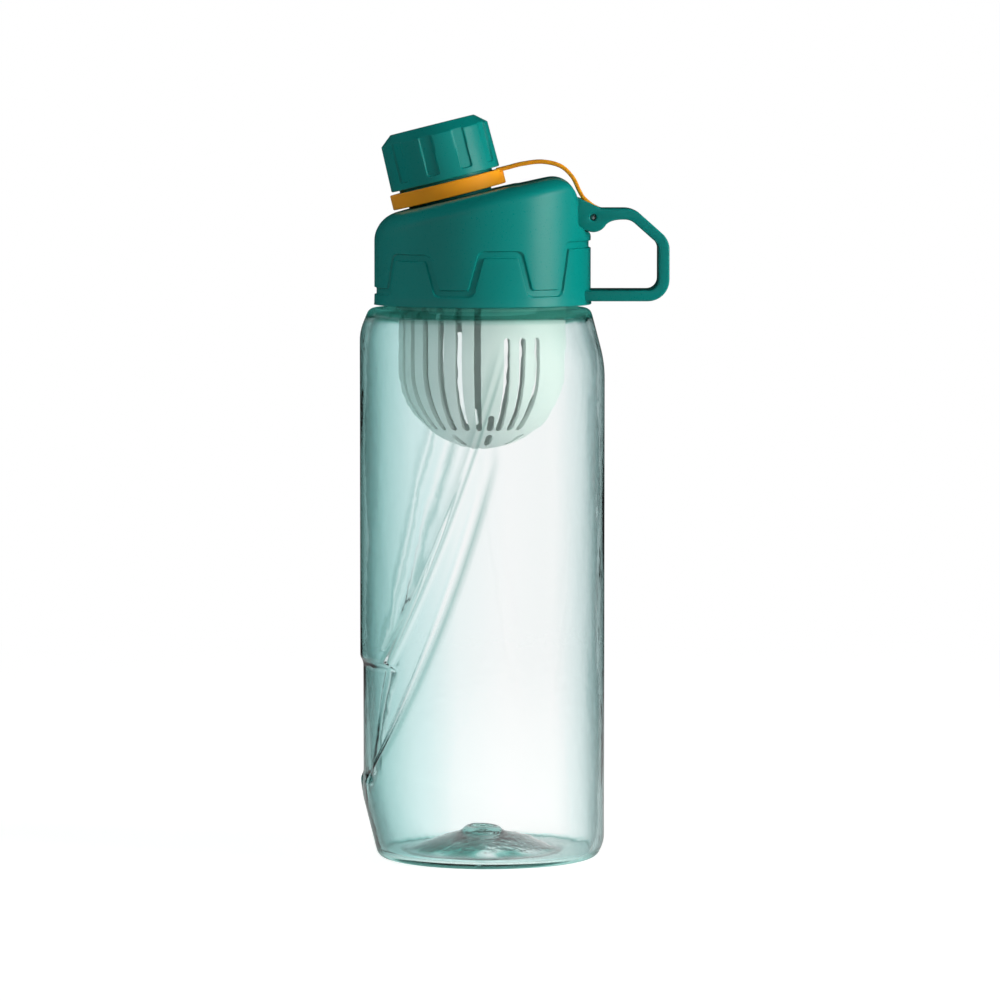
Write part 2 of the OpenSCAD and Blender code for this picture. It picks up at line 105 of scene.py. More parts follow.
scene = bpy.context.scene
scene.view_settings.view_transform = "Standard"
CAMERA_AIM, CAMERA_AWAY, CAMERA_UP = (5.8 * MM, 0, 117 * MM), 1771 * MM, 252 * MM
PICTURE_WIDTH, SENSOR = 326.5 * MM, 36
camera_data = bpy.data.cameras.new("camera")
camera_data.sensor_width = SENSOR
camera_data.lens = SENSOR * CAMERA_AWAY / PICTURE_WIDTH
scene.camera = aimed(camera_data, (CAMERA_AIM[0], -CAMERA_AWAY, CAMERA_UP), CAMERA_AIM)

# One lamp for dull pieces and one for gloss at the same place, with sizes in m and power in W.
LAMP_PLACE, LAMP_AIM = (1.62, -0.56, 0.36), (0, 0, 0.17)
for name, wide, tall, power, for_gloss in (("lamp_right", 1.15, 1.25, 46.0, False),
                                           ("lamp_right_shine", 0.85, 1.15, 16.0, True)):
    lamp = bpy.data.lights.new(name, "AREA")
    lamp.shape = "RECTANGLE"
    lamp.size = wide
    lamp.size_y = tall
    lamp.energy = power
    lamp.color = linear("FFFAF4")[:3]
    lamp.use_nodes = True
    tree = lamp.node_tree
    tree.nodes.clear()
    spot = add(tree, "ShaderNodeNewGeometry", {}, {}).outputs["Parametric"]
    off = add(tree, "ShaderNodeVectorMath", {"operation": "DISTANCE"}, {0: spot, 1: (0.5, 0.5, 0)})
    spread = add(tree, "ShaderNodeMapRange", SMOOTH, {"Value": off.outputs["Value"], "From Min": 0.02,
                                                      "From Max": 0.52, "To Min": 2.6, "To Max": 0.0})
    bulb = add(tree, "ShaderNodeEmission", {}, {"Strength": spread})
    add(tree, "ShaderNodeOutputLight", {}, {0: bulb})
    made = aimed(lamp, LAMP_PLACE, LAMP_AIM)
    made.visible_diffuse = not for_gloss
    made.visible_glossy = made.visible_transmission = for_gloss

# The wall: white to the camera and through clear pieces. Gloss sees it dark, but for a glow low on the
# right in front, and it lights dull pieces from the level of the table more than from above.
world = bpy.data.worlds.new("white_wall")
scene.world = world
world.use_nodes = True
tree = world.node_tree
tree.nodes.clear()
direction = add(tree, "ShaderNodeTexCoord", {}, {}).outputs["Generated"]
axes = add(tree, "ShaderNodeSeparateXYZ", {}, {0: direction}).outputs
ray = add(tree, "ShaderNodeLightPath", {}, {}).outputs
# light levels that change along an axis: where the change starts and ends, and the level before and after
low_light, fill, through, mirrored, ahead = (
    add(tree, "ShaderNodeMapRange", SMOOTH,
        {"Value": axes[axis], "From Min": start, "From Max": end, "To Min": before, "To Max": after})
    for axis, start, end, before, after in (("Z", 0.75, -0.1, 0.12, 0.75), ("X", -0.7, 0.6, 2.0, 0.85),
                                            ("Z", 0.7, 0.1, 0.6, 1.0), ("X", -0.3, 0.9, 0.0, 0.14),
                                            ("Y", -0.2, 0.5, 1.0, 0.1)))
low_light = add(tree, "ShaderNodeMath", TIMES, {0: low_light, 1: fill})
mirrored = add(tree, "ShaderNodeMath", TIMES, {0: mirrored, 1: ahead})
level = add(tree, "ShaderNodeMix", {}, {0: ray["Is Glossy Ray"], 2: low_light, 3: mirrored})
level = add(tree, "ShaderNodeMix", {}, {0: ray["Is Transmission Ray"], 2: level, 3: through})
level = add(tree, "ShaderNodeMix", {}, {0: ray["Is Camera Ray"], 2: level, 3: 1.0})
back = add(tree, "ShaderNodeBackground", {}, {"Color": (1, 1, 1, 1), "Strength": level})
add(tree, "ShaderNodeOutputWorld", {}, {0: back})

# The table: a dull white sheet. To the camera, gloss and glass it also glows, so that it stays
# white and only the bottle's own shade shows on it.
floor_mesh = bpy.data.meshes.new("table_top")
FLOOR_HALF = 12.0
corners = ((-1, -1), (1, -1), (1, 1), (-1, 1))
floor_mesh.from_pydata([(x * FLOOR_HALF, y * FLOOR_HALF, 0) for x, y in corners], [], [(0, 1, 2, 3)])
floor = placed("table_top", floor_mesh)
white, tree, place = new_material("matt_white_table")
ray = add(tree, "ShaderNodeLightPath", {}, {}).outputs
away = add(tree, "ShaderNodeVectorMath", {"operation": "LENGTH"}, {0: place})
far = add(tree, "ShaderNodeMapRange", SMOOTH,
          {"Value": away.outputs["Value"], "From Min": 0.12, "From Max": 0.7, "To Min": 0.0, "To Max": 1.0})
in_gloss = add(tree, "ShaderNodeMapRange", {}, {"Value": far, "To Min": 0.25, "To Max": 0.02})
seen = add(tree, "ShaderNodeMath", TIMES_PLUS,
           {0: ray["Is Glossy Ray"], 1: in_gloss, 2: ray["Is Camera Ray"]})
seen = add(tree, "ShaderNodeMath", {"operation": "MAXIMUM"}, {0: seen, 1: ray["Is Transmission Ray"]})
sheet = add(tree, "ShaderNodeMix", COLOURS, {0: far, 6: "C8C8C8", 7: "000000"})
dull = add(tree, "ShaderNodeBsdfDiffuse", {}, {"Color": sheet})
level = add(tree, "ShaderNodeMapRange", {}, {"Value": far, "To Min": 0.8, "To Max": 1.0})
glow = add(tree, "ShaderNodeMath", TIMES, {0: seen, 1: level})
glow = add(tree, "ShaderNodeEmission", {}, {"Color": (1, 1, 1, 1), "Strength": glow})
both = add(tree, "ShaderNodeAddShader", {}, {0: dull, 1: glow})
add(tree, "ShaderNodeOutputMaterial", {}, {0: both})
floor.data.materials.append(white)


# ---------- Bottle body ----------
# Blow-moulded clear copolyester, tinted pale teal. The foot and shoulder taper and lean, the base is
# pushed up into a dome with the moulding's gate ring on it, and a grip is pressed into the spout's side.

BODY_R, WALL, SHOULDER_Z, CORNER_R = 40.0, 2.0, 180.0, 2.6
NECK_R, NECK_BORE_R, NECK_TOP = 31.2, 28.2, 197.0


def cone_radius(angle, height, radius, slope, lean):
    """Radius of a leaning cone in the direction angle (0 at +X) at a height above its own base circle."""
    tan = math.tan(math.radians(slope))
    a = np.cos(angle) * math.sin(math.radians(lean))
    b = height * math.cos(math.radians(lean))
    r0 = radius + tan * b
    qa = 1 - a * a * (1 + tan * tan)
    qb = -2 * a * (b + r0 * tan)
    qc = height * height - b * b - r0 * r0
    return (-qb + np.sqrt(qb * qb - 4 * qa * qc)) / (2 * qa)


def smooth_min(a, b, k):
    """The smaller of a and b, with the corner between them rounded over about k."""
    h = np.clip(0.5 + 0.5 * (b - a) / k, 0, 1)
    return b * (1 - h) + a * h - k * h * (1 - h)


def ease(x):
    """0 below 0, 1 above 1 and smooth between."""
    x = np.clip(x, 0, 1)
    return x * x * (3 - 2 * x)


def foot_radius(angle, z):
    """Radius of the foot's taper: 35.6 mm at the table, widening at 21 degrees and leaning 7."""
    return cone_radius(angle, z, 35.6, 21.0, 7.0)


def shoulder_radius(angle, z):
    """Radius of the shoulder's taper: 36 mm at the top, widening downwards at 18.4 degrees, leaning 3.8."""
    return cone_radius(angle, z - SHOULDER_Z, 36.0, -18.4, 3.8)


def crease(p, bend, q):
    """A crease that runs from p to q, as the angle from the spout's side at each height (x and z in mm)."""
    t = np.linspace(0, 1, 60)[:, None]
    path = (1 - t) ** 2 * np.array(p) + 2 * t * (1 - t) * np.array(bend) + t * t * np.array(q)
    path = path[np.argsort(path[:, 1])]
    return lambda z: np.degrees(np.arccos(np.clip(-np.interp(z, path[:, 1], path[:, 0]) / BODY_R, -1, 1)))


# side, upper crease, lower crease and the height at which each fades out
GRIPS = {
    "front": (crease((7.4, 173.3), (-8.3, 118.2), (-33.1, 64.4)),
              crease((-38.3, 25.8), (-10.7, 78.6), (2.9, 131.4)), 173.3, 131.4),
    "rear": (crease((-12.5, 165), (-25.2, 114.4), (-36.3, 63.8)),
             crease((-39, 27), (-26, 91), (-5, 152)), 165.0, 146.0),
}
UPPER_RAMP, LOWER_RAMP = 3.0, 2.4
PAD_TOP, PAD_FOOT, PAD_RAMP = 65.0, 26.5, 1.6
DEGREES_PER_MM = math.degrees(1 / BODY_R)
# each half of the wall has this many columns up to, in and beyond the two creases, which stay this far apart
COLUMN_COUNTS, LEAST_LOW, LEAST_APART = (24, 6, 13, 6, 58), 20.0, 11


def pad_edge(z):
    """Angle at which the deeper thumb pad ends, from the spout's side."""
    return np.interp(z, (31.9, 62.7), (26.5, 39.9))


def upper_edge(grip, z):
    """Angle of a side's upper crease, or of the pad's edge below the pad's top."""
    return np.where(z < PAD_TOP, pad_edge(z), GRIPS[grip][0](z))


def grip_depth(turn, z, softer=1.0):
    """How far the grip is pressed in, in mm, at the angle turn from the spout's side (front positive)."""
    total = np.zeros_like(turn * z)
    for grip, sign in (("front", 1), ("rear", -1)):
        upper, lower, top_end, low_end = GRIPS[grip]
        side = turn * sign
        # the grip fades out upwards, and its lower edge widens into a slope near that crease's end
        fade = ease((top_end - z) / 70) * 0.45 + 0.35 * ease((130 - z) / 60)
        inner = ease((side - upper(z)) / DEGREES_PER_MM / (UPPER_RAMP * softer))
        inner = np.where(z < PAD_TOP, 1.0, inner)
        wide = LOWER_RAMP * softer + 14 * ease((z - low_end + 14) / 34)
        outer = ease((lower(z) - side) / DEGREES_PER_MM / wide)
        band = fade * inner * outer * (side > 0) * ease((z - 20) / 8)
        total = np.maximum(total, band * (z < top_end))
    pad = ease((pad_edge(z) - np.abs(turn)) / DEGREES_PER_MM / (PAD_RAMP * softer))
    pad = pad * ease((PAD_TOP + 1.5 - z) / 3.4) * ease((z - PAD_FOOT + 1.5) / 3.4)
    return np.maximum(total, pad)


def wall_radius(angle, turn, z, softer=1.0):
    """Outer radius of the body's wall at an angle and height, with its grip and tapers."""
    form = smooth_min(foot_radius(angle, z), shoulder_radius(angle, z), 1.0)
    return smooth_min(form, BODY_R + 0.0 * z, 1.3) + 0.02 - grip_depth(turn, z, softer)


def columns(z):
    """Angles from the spout's side, front first and then the rear, for one row at height z. They follow the
    creases, so that each crease stays a clean line."""
    found = []
    for grip, sign in (("front", 1), ("rear", -1)):
        low = max(float(GRIPS[grip][1](z)), LEAST_LOW) + max(0.0, z - GRIPS[grip][3]) * 0.4
        high = min(float(upper_edge(grip, z)), low - LEAST_APART)
        knots = [0, high, high + UPPER_RAMP * DEGREES_PER_MM, low - LOWER_RAMP * DEGREES_PER_MM, low, 180]
        run = [0.0]
        for k, count in enumerate(COLUMN_COUNTS):
            run += list(np.linspace(knots[k], knots[k + 1], count + 1)[1:])
        found.append([sign * a for a in run])
    front, rear = found
    return np.array(front[:-1] + [180.0] + rear[-2:0:-1])


def knots_to_heights(*spans):
    """Heights from spans of (start, end, step), each start once."""
    found = []
    for start, end, step in spans:
        found += list(np.arange(start, end - step * 0.5, step))
    return found + [spans[-1][1]]


PUNT_R, PUNT_H, FLOOR_Z, DOME_WALL, GATE_R = 24.5, 6.3, 2.2, 1.9, 5.2
INNER_CORNER_R, INNER_FOOT_R = 2.2, 2.4


def dome_height(r):
    """Height of the pushed-up base's underside, part of a ball, at a radius."""
    ball = (PUNT_R ** 2 + PUNT_H ** 2) / (2 * PUNT_H)
    return math.sqrt(ball ** 2 - r ** 2) - ball + PUNT_H


def rings(turn, profile):
    """Level rows of (turn, radius, z), one for each (radius, z) of a profile."""
    return [(turn, r + 0 * turn, z + 0 * turn) for r, z in profile]


def body_rows():
    """Rows of (turn, radius, z), each an array round the bottle, from the base's centre under the bottle,
    up the outside, over the neck's lip and down the inside to the floor's centre."""
    rows = []

    def level(at, *profile):
        """Level rows with the wall's columns at the height at."""
        rows.extend(rings(columns(at), profile))

    def wall_row(z, inset=0.0, softer=1.0):
        """A row of the wall. The inside is inset and has a softer grip and slow waves."""
        turn = columns(z)
        angle = np.radians(180 + turn)
        r = wall_radius(angle, turn, np.full_like(turn, z), softer) - inset
        rows.append((turn, r + ripple_of(angle, z) if inset else r, z + 0 * turn))

    def rounding(base, at, centre_z, radius, a0, a1, count, inset=0.0):
        """Rows of a rounded corner against the leaning wall, with its columns at the height at."""
        turn = columns(at)
        angle = np.radians(180 + turn)
        lean = np.arctan((base(angle, centre_z + 1) - base(angle, centre_z - 1)) / 2)
        middle = base(angle, centre_z) - inset / np.cos(lean) - radius / np.cos(lean)
        for share in np.linspace(0, 1, count):
            b = a0(lean) * (1 - share) + a1(lean) * share
            rows.append((turn, middle + radius * np.cos(b), centre_z + radius * np.sin(b)))

    # under the base: dome, standing ring and the rounding up to the foot's taper
    quarter = math.pi / 2
    level(0, *[(r, dome_height(r)) for r in np.linspace(0.6, PUNT_R, 12)])
    level(0, (PUNT_R + 0.8, 0.05), (27.0, 0.0), (30.0, 0.0))
    rounding(foot_radius, 0, CORNER_R, CORNER_R, lambda s: -quarter, lambda s: -s, 7)
    # the wall, with more rows where the pad ends, the shoulder and the neck with its lip
    for z in knots_to_heights((3.2, 22, 1.4), (22, 30, 0.7), (30, 60, 1.3), (60, 69, 0.7), (69, 177.4, 1.35)):
        wall_row(z)
    rounding(shoulder_radius, 180, SHOULDER_Z - CORNER_R, CORNER_R, lambda s: -s, lambda s: quarter, 7)
    level(180, (33.0, SHOULDER_Z), (NECK_R + 0.6, SHOULDER_Z))
    for z in np.arange(SHOULDER_Z + 0.6, NECK_TOP - 0.9, 0.45):
        level(180, (neck_radius(np.radians(180 + columns(180)), z), z))
    mid = (NECK_R + NECK_BORE_R) / 2
    level(180, *[(mid + (NECK_R - mid) * math.cos(b), NECK_TOP - 1.0 + 1.0 * math.sin(b))
                 for b in np.linspace(0, math.pi, 7)])

    # down the inside
    inner_top = SHOULDER_Z - WALL
    level(180, *[(NECK_BORE_R, z) for z in (190.0, 183.0, 179.0)])
    level(180, (NECK_BORE_R + 0.8, inner_top), (31.0, inner_top))
    rounding(shoulder_radius, 180, inner_top - INNER_CORNER_R, INNER_CORNER_R,
             lambda s: quarter, lambda s: -s, 5, WALL)
    for z in knots_to_heights((6.0, 60, 2.0), (60, 69, 1.0), (69, 175, 2.0))[::-1]:
        wall_row(z, WALL, 1.7)
    rounding(foot_radius, 0, WALL + INNER_FOOT_R, INNER_FOOT_R, lambda s: -s, lambda s: -quarter, 6, WALL)
    # the floor inside: up over the dome, to the ring that the moulding's gate leaves
    level(0, (30.0, FLOOR_Z), (27.5, FLOOR_Z))
    for r in np.linspace(25.6, GATE_R + 2.4, 12):
        rise = dome_height(min(r, PUNT_R)) + DOME_WALL + 0.5 * float(ease((14 - r) / 12))
        level(0, (r, max(FLOOR_Z + 0.1, rise)))
    crown = PUNT_H + DOME_WALL
    for out, up in ((1.2, 0.5), (0.3, 1.3), (-0.3, 1.45), (-0.9, 1.1), (-1.4, 0.2), (-2.4, -0.2)):
        level(0, (GATE_R + out, crown + up))
    level(0, (0.8, crown - 0.2))
    return rows


def ripple_of(angle, z):
    """The slow waves that blow-moulding leaves on the inside of the wall, in mm."""
    waves = ((7, 0.021, 0.3, 0.028), (13, -0.043, 1.7, 0.022), (19, 0.031, 4.0, 0.016), (29, 0.075, 2.2, 0.010),
             (41, -0.11, 5.1, 0.006))
    return sum(size * np.sin(count * angle + rise * z * 2 + start) for count, rise, start, size in waves)


THREAD_LEAD, THREAD_TURNS, THREAD_H, THREAD_FIRST = 4.2, 1.6, 1.3, SHOULDER_Z + 4.5


def neck_radius(angle, z):
    """The neck's outside with its thread, a rounded ridge that climbs one lead a turn."""
    r = np.full_like(angle, NECK_R)
    for turn in range(3):
        along = angle / math.tau + turn
        centre = THREAD_FIRST + THREAD_LEAD * along
        ridge = np.clip(1 - np.abs(z - centre) / THREAD_H, 0, 1)
        ends = ease(along / 0.08) * ease((THREAD_TURNS - along) / 0.08)
        r = np.maximum(r, NECK_R + THREAD_H * ease(ridge) * ends * (along > 0))
    return r


def lathe_mesh(name, rows, ring=False):
    """A closed mesh from rows of (turn, radius, z), with a point on the axis at both ends, or from the
    last row back to the first for a ring."""
    count = len(rows[0][0])
    points = []
    for turn, radius, z in rows:
        angle = np.radians(180 + turn)
        points.append(np.stack([radius * np.cos(angle), radius * np.sin(angle), z], 1))
    points = np.concatenate(points)
    faces = []
    for k in range(len(rows) if ring else len(rows) - 1):
        up = ((k + 1) % len(rows) - k) * count
        for j in range(count):
            a, b = k * count + j, k * count + (j + 1) % count
            faces.append((a, b, b + up, a + up))
    if not ring:
        first, last = len(points), len(points) + 1
        ends = [[0, 0, float(np.mean(rows[k][2]))] for k in (0, -1)]
        points = np.concatenate([points, ends])
        base = (len(rows) - 1) * count
        for j in range(count):
            faces.append((first, (j + 1) % count, j))
            faces.append((last, base + j, base + (j + 1) % count))
    mesh = bpy.data.meshes.new(name)
    mesh.from_pydata(points * MM, [], faces)
    mesh.update()
    return mesh


def outward(mesh):
    """Turns every face of a closed mesh outwards and smooths its shading."""
    work = bmesh.new()
    work.from_mesh(mesh)
    bmesh.ops.recalc_face_normals(work, faces=work.faces)
    if work.calc_volume(signed=True) < 0:
        bmesh.ops.reverse_faces(work, faces=work.faces)
    work.to_mesh(mesh)
    work.free()
    mesh.shade_smooth()
    return mesh


def piece(name, mesh, material, body, node):
    """A finished mesh as a piece that rides on a body and stands for a CAD node."""
    made = placed(name, mesh)
    made.data.materials.clear()
    made.data.materials.append(material)
    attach(made, body)
    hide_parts(node)


def ramp(tree, value, *stops):
    """A colour ramp on a value, from (position, hex) stops."""
    made = add(tree, "ShaderNodeValToRGB", {}, {0: value})
    held = made.color_ramp.elements
    for k, (at, colour) in enumerate(stops):
        stop = held[k] if k < 2 else held.new(at)
        stop.position, stop.color = at, linear(colour)
    return made


def crease_tones(turn, z):
    """Painted highlight and painted shade in bands beside the grip's creases and the pad's edge, as two shares
    from 0 to 1.
    """
    painted_highlight, thickness_and_painted_shade = np.zeros_like(turn), np.zeros_like(turn)

    def band(shares, gap, on, mid, width, share):
        """Raises shares to a soft band whose middle lies mid mm beside an edge."""
        np.maximum(shares, share * on * np.exp(-((gap - mid) / width) ** 2), out=shares)

    for grip, sign in (("front", 1), ("rear", -1)):
        upper, lower, top_end, low_end = GRIPS[grip]
        side = turn * sign
        near = (side > 0) * ease((z - 22) / 8)
        up = (side - upper(z)) / DEGREES_PER_MM * 0.9
        low = (side - lower(z)) / DEGREES_PER_MM * 0.9
        upper_on = near * ease((top_end - z) / 25) * (z > PAD_TOP)
        lower_on = near * ease((low_end + 14 - z) / 35)
        band(painted_highlight, up, upper_on, 1.0, 0.75, 0.9)
        band(painted_highlight, up, upper_on, 3.4, 0.5, 0.5)
        band(painted_highlight, low, lower_on, -1.1, 1.0, 1.0)
        band(thickness_and_painted_shade, up, upper_on, -0.7, 0.7, 0.7)
        band(thickness_and_painted_shade, up, upper_on, 2.2, 0.5, 0.45)
        band(thickness_and_painted_shade, low, lower_on, 1.2, 1.1, 0.5)
    pad = (np.abs(turn) - pad_edge(z)) / DEGREES_PER_MM
    pad_on = ease((PAD_TOP - z) / 2) * ease((z - PAD_FOOT) / 2)
    band(thickness_and_painted_shade, pad, pad_on, -0.6, 0.5, 0.8)
    band(painted_highlight, pad, pad_on, 1.2, 1.0, 0.7)
    return painted_highlight, thickness_and_painted_shade


# Clear moulded copolyester: pale teal in the thickness, almost white through two walls and deep in the thick
# base, with a hammered skin from the mould that is coarser by the handle. Its tint also carries painted shade
# and highlights: dark at the edges, deeper on the left, light and dark bands by the creases and patches in the
# base.
clear, tree, place = new_material("tinted_clear_copolyester")
across = add(tree, "ShaderNodeSeparateXYZ", {}, {0: place}).outputs["X"]
skin = add(tree, "ShaderNodeTexNoise", {}, {"Vector": place, "Scale": 1 / (9 * MM), "Detail": 2.0})
tall = add(tree, "ShaderNodeMapping", {}, {0: place, "Scale": (1, 1, 0.35)})
dents = add(tree, "ShaderNodeTexNoise", {}, {"Vector": tall, "Scale": 1 / (2.6 * MM), "Detail": 2.0})
where = add(tree, "ShaderNodeMapRange", SMOOTH,
            {"Value": across, "From Min": 16 * MM, "From Max": 32 * MM, "To Min": 0.02, "To Max": 0.3})
# the mesh's shares: painted highlight and painted shade by the creases, the rim's painted teal, and the base
painted_highlight, thickness_and_painted_shade, rim, in_base = (add(tree, "ShaderNodeAttribute", {"attribute_name": name}, {}).outputs["Fac"]
                             for name in ("painted_highlight", "thickness_and_painted_shade", "rim", "base"))
where = add(tree, "ShaderNodeMath", TIMES_PLUS, {0: in_base, 1: 1.6, 2: where})
height = add(tree, "ShaderNodeMath", TIMES_PLUS, {0: dents, 1: where, 2: skin})
bump = add(tree, "ShaderNodeBump", {}, {"Strength": 0.14, "Distance": 0.6 * MM, "Height": height})
# painted shade: the tint is deeper on the left, away from the lamp, and clears to white towards the right
side = add(tree, "ShaderNodeMapRange", {}, {"Value": across, "From Min": -40 * MM, "From Max": 40 * MM})
side = ramp(tree, side, (0.0, "C0E2DF"), (0.6, "FFFFFF"), (0.1, "D9EEED"), (0.25, "E8F6F6"),
            (0.4, "F9FDFD"), (1.0, "FFFFFF"))
# bands beside the creases and the pad's edge are painted highlights that clear the tint, and painted shade that
# deepens it
wall = add(tree, "ShaderNodeMix", COLOURS, {0: painted_highlight, 6: side, 7: "FFFFFF"})
wall = add(tree, "ShaderNodeMix", COLOURS, {0: thickness_and_painted_shade, 6: wall, 7: "3F988F"})
# the thick base is deeper teal, and its noisy patches of deep and pale teal are painted shade and painted
# highlights
patches = add(tree, "ShaderNodeTexNoise", {}, {"Vector": place, "Scale": 1 / (12 * MM), "Detail": 2.0})
patches = ramp(tree, patches, (0.36, "2A8A81"), (0.64, "FFFFFF"), (0.46, "6DBEB5"), (0.54, "C6E9E5"))
wall = add(tree, "ShaderNodeMix", COLOURS, {0: in_base, 6: wall, 7: patches})
# painted shade, partly the longer path through the tint: the wall darkens to almost black where it is seen edge
# on
facing = add(tree, "ShaderNodeLayerWeight", {}, {"Blend": 0.5}).outputs["Facing"]
slant = ramp(tree, facing, (0.2, "FFFFFF"), (0.95, "18302E"), (0.35, "E9F3F3"), (0.46, "D4E4E4"),
             (0.56, "B6CCCC"), (0.67, "7DA0A0"), (0.8, "466866"))
tint = add(tree, "ShaderNodeMix", {"data_type": "RGBA", "blend_type": "MULTIPLY"},
           {0: 1.0, 6: wall, 7: slant})
# Painted light: neck, shoulder's edge and foot's edge are painted with the lid's teal, which stands for the lit
# lid seen through the wall. Half of what is seen there isn't bent, because the bent view shows only a black
# line.
tint = add(tree, "ShaderNodeMix", COLOURS, {0: rim, 6: tint, 7: "BDE8E3"})
glass = add(tree, "ShaderNodeBsdfPrincipled", {},
            {"Base Color": tint, "Roughness": 0.03, "IOR": 1.5, "Transmission Weight": 1.0, "Normal": bump})
unbent = add(tree, "ShaderNodeBsdfTransparent", {}, {"Color": "84D2C9"})
at_rim = add(tree, "ShaderNodeMath", TIMES, {0: rim, 1: 0.5})
glass = add(tree, "ShaderNodeMixShader", {}, {0: at_rim, 1: glass, 2: unbent})
# Its shadow is pale, and light from dull pieces passes it almost untinted, so that the basket is lit as
# it would be inside thin plastic.
shade = add(tree, "ShaderNodeBsdfTransparent", {}, {"Color": "D6E3DF"})
ray = add(tree, "ShaderNodeLightPath", {}, {}).outputs
both = add(tree, "ShaderNodeMixShader", {}, {0: ray["Is Shadow Ray"], 1: glass, 2: shade})
plain = add(tree, "ShaderNodeBsdfRefraction", {}, {"Color": "F1FAF9", "Roughness": 0.0, "IOR": 1.5})
both = add(tree, "ShaderNodeMixShader", {}, {0: ray["Is Diffuse Ray"], 1: both, 2: plain})
depth = add(tree, "ShaderNodeVolumeAbsorption", {}, {"Color": "7FC4BE", "Density": 12.0})
add(tree, "ShaderNodeOutputMaterial", {}, {"Surface": both, "Volume": depth})

rows = body_rows()
body_mesh = outward(lathe_mesh("bottle_body_clear", rows))
# painted highlight and painted shade by the creases, with the rim and base shares, on the mesh's points
painted_highlight, thickness_and_painted_shade, rim, base = [], [], [], []
for turn, radius, z in rows:
    in_wall = (np.mean(z) > 12) & (np.mean(z) < 178) & (np.mean(radius) > 33)
    tones = crease_tones(turn, z) if in_wall else (0 * turn, 0 * turn)
    painted_highlight += list(tones[0])
    thickness_and_painted_shade += list(tones[1])
    rim += list(ease((z - 176.2) / 1.8) + 0.6 * ease((2.4 - z) / 2) * ease((radius - 25) / 2))
    base += list(ease((13 - z) / 5) * ease((27.5 - radius) / 6))
for label, shares in (("painted_highlight", painted_highlight), ("thickness_and_painted_shade", thickness_and_painted_shade), ("rim", rim), ("base", base)):
    held = body_mesh.attributes.new(label, "FLOAT", "POINT")
    held.data.foreach_set("value", shares + [shares[0], shares[-1]])
piece("bottle_body_clear", body_mesh, clear, "bottle", "bottle_body")


# ---------- Infuser basket ----------
# Injection-moulded frosted plastic, half clear, with long and short slots and a ball end. Its flange
# hangs on the neck's rim under the lid's gasket.

def clouded(tree, place, size, one, other):
    """The slow clouds, size mm across, that moulding leaves between two tones of a plastic's colour."""
    cloud = add(tree, "ShaderNodeTexNoise", {}, {"Vector": place, "Scale": 1 / (size * MM), "Detail": 3.0})
    return add(tree, "ShaderNodeMix", COLOURS, {0: cloud, 6: one, 7: other})


# Frosted polypropylene scatters light in its wall, which makes it half clear, pale and without a sharp
# gloss. Its grain is drawn coarser than the real 0.1 mm, so that it shows.
frosted, tree, place = new_material("frosted_mint_polypropylene")
tone = clouded(tree, place, 14, "EEFAF5", "F7FFFB")
grain = add(tree, "ShaderNodeTexNoise", {}, {"Vector": place, "Scale": 1 / (0.6 * MM), "Detail": 2.0})
bump = add(tree, "ShaderNodeBump", {}, {"Strength": 0.15, "Distance": 0.05 * MM, "Height": grain})
plastic = add(tree, "ShaderNodeBsdfPrincipled", {},
              {"Base Color": tone, "Roughness": 0.45, "IOR": 1.4, "Transmission Weight": 0.06,
               "Subsurface Weight": 0.5, "Subsurface Radius": (1, 1, 1), "Subsurface Scale": 0.8 * MM,
               "Normal": bump})
add(tree, "ShaderNodeOutputMaterial", {}, {0: plastic})


BASKET_R, BASKET_WALL, BASKET_Z, FLANGE_Z, FLANGE_T, FLANGE_W = 27.25, 1.6, 134.0, 199.05, 2.0, 3.4
SLOT_W, SLOT_CORNER, SLOT_OUTSIDE, SLOT_INSIDE, SLIT_INSIDE = 2.2, 1.05, 30.0, 12.6, 6.0
SLOT_FOOT, LONG_TOP, SHORT_TOP, STUB_TOP, LONG_PITCH, SHORT_PITCH = 140.8, 187.0, 171.0, 146.0, 12.9, 11.4

# A slot cutter is a rounded bar laid out in a ring round the axis: the tree cuts a ring of them.
slots = bpy.data.node_groups.new("ring_of_slots", "GeometryNodeTree")
for labels, kind in ((["Geometry"], "Geometry"), (["Count"], "Int"),
                     (["Start", "Pitch", "Width", "Low", "High", "Corner", "Inside", "Outside"], "Float"),
                     (["Material"], "Material")):
    for label in labels:
        slots.interface.new_socket(label, in_out="INPUT", socket_type="NodeSocket" + kind)
slots.interface.new_socket("Geometry", in_out="OUTPUT", socket_type="NodeSocketGeometry")
given = add(slots, "NodeGroupInput", {}, {}).outputs
tall = add(slots, "ShaderNodeMath", {"operation": "SUBTRACT"}, {0: given["High"], 1: given["Low"]})
mid = add(slots, "ShaderNodeMath", {"operation": "ADD"}, {0: given["High"], 1: given["Low"]})
mid = add(slots, "ShaderNodeMath", TIMES, {0: mid, 1: 0.5})
outline = add(slots, "GeometryNodeCurvePrimitiveQuadrilateral", {}, {"Width": given["Width"], "Height": tall})
outline = add(slots, "GeometryNodeFilletCurve", {"mode": "POLY"},
              {"Curve": outline, "Radius": given["Corner"], "Count": 5})
start = add(slots, "ShaderNodeCombineXYZ", {}, {"X": given["Inside"], "Z": mid})
end = add(slots, "ShaderNodeCombineXYZ", {}, {"X": given["Outside"], "Z": mid})
bar = add(slots, "GeometryNodeCurvePrimitiveLine", {}, {"Start": start, "End": end})
bar = add(slots, "GeometryNodeCurveToMesh", {}, {"Curve": bar, "Profile Curve": outline, "Fill Caps": True})
spots = add(slots, "GeometryNodeMeshLine", {}, {"Count": given["Count"], "Offset": (0, 0, 0)})
number = add(slots, "GeometryNodeInputIndex", {}, {})
turned = add(slots, "ShaderNodeMath", TIMES_PLUS, {0: number, 1: given["Pitch"], 2: given["Start"]})
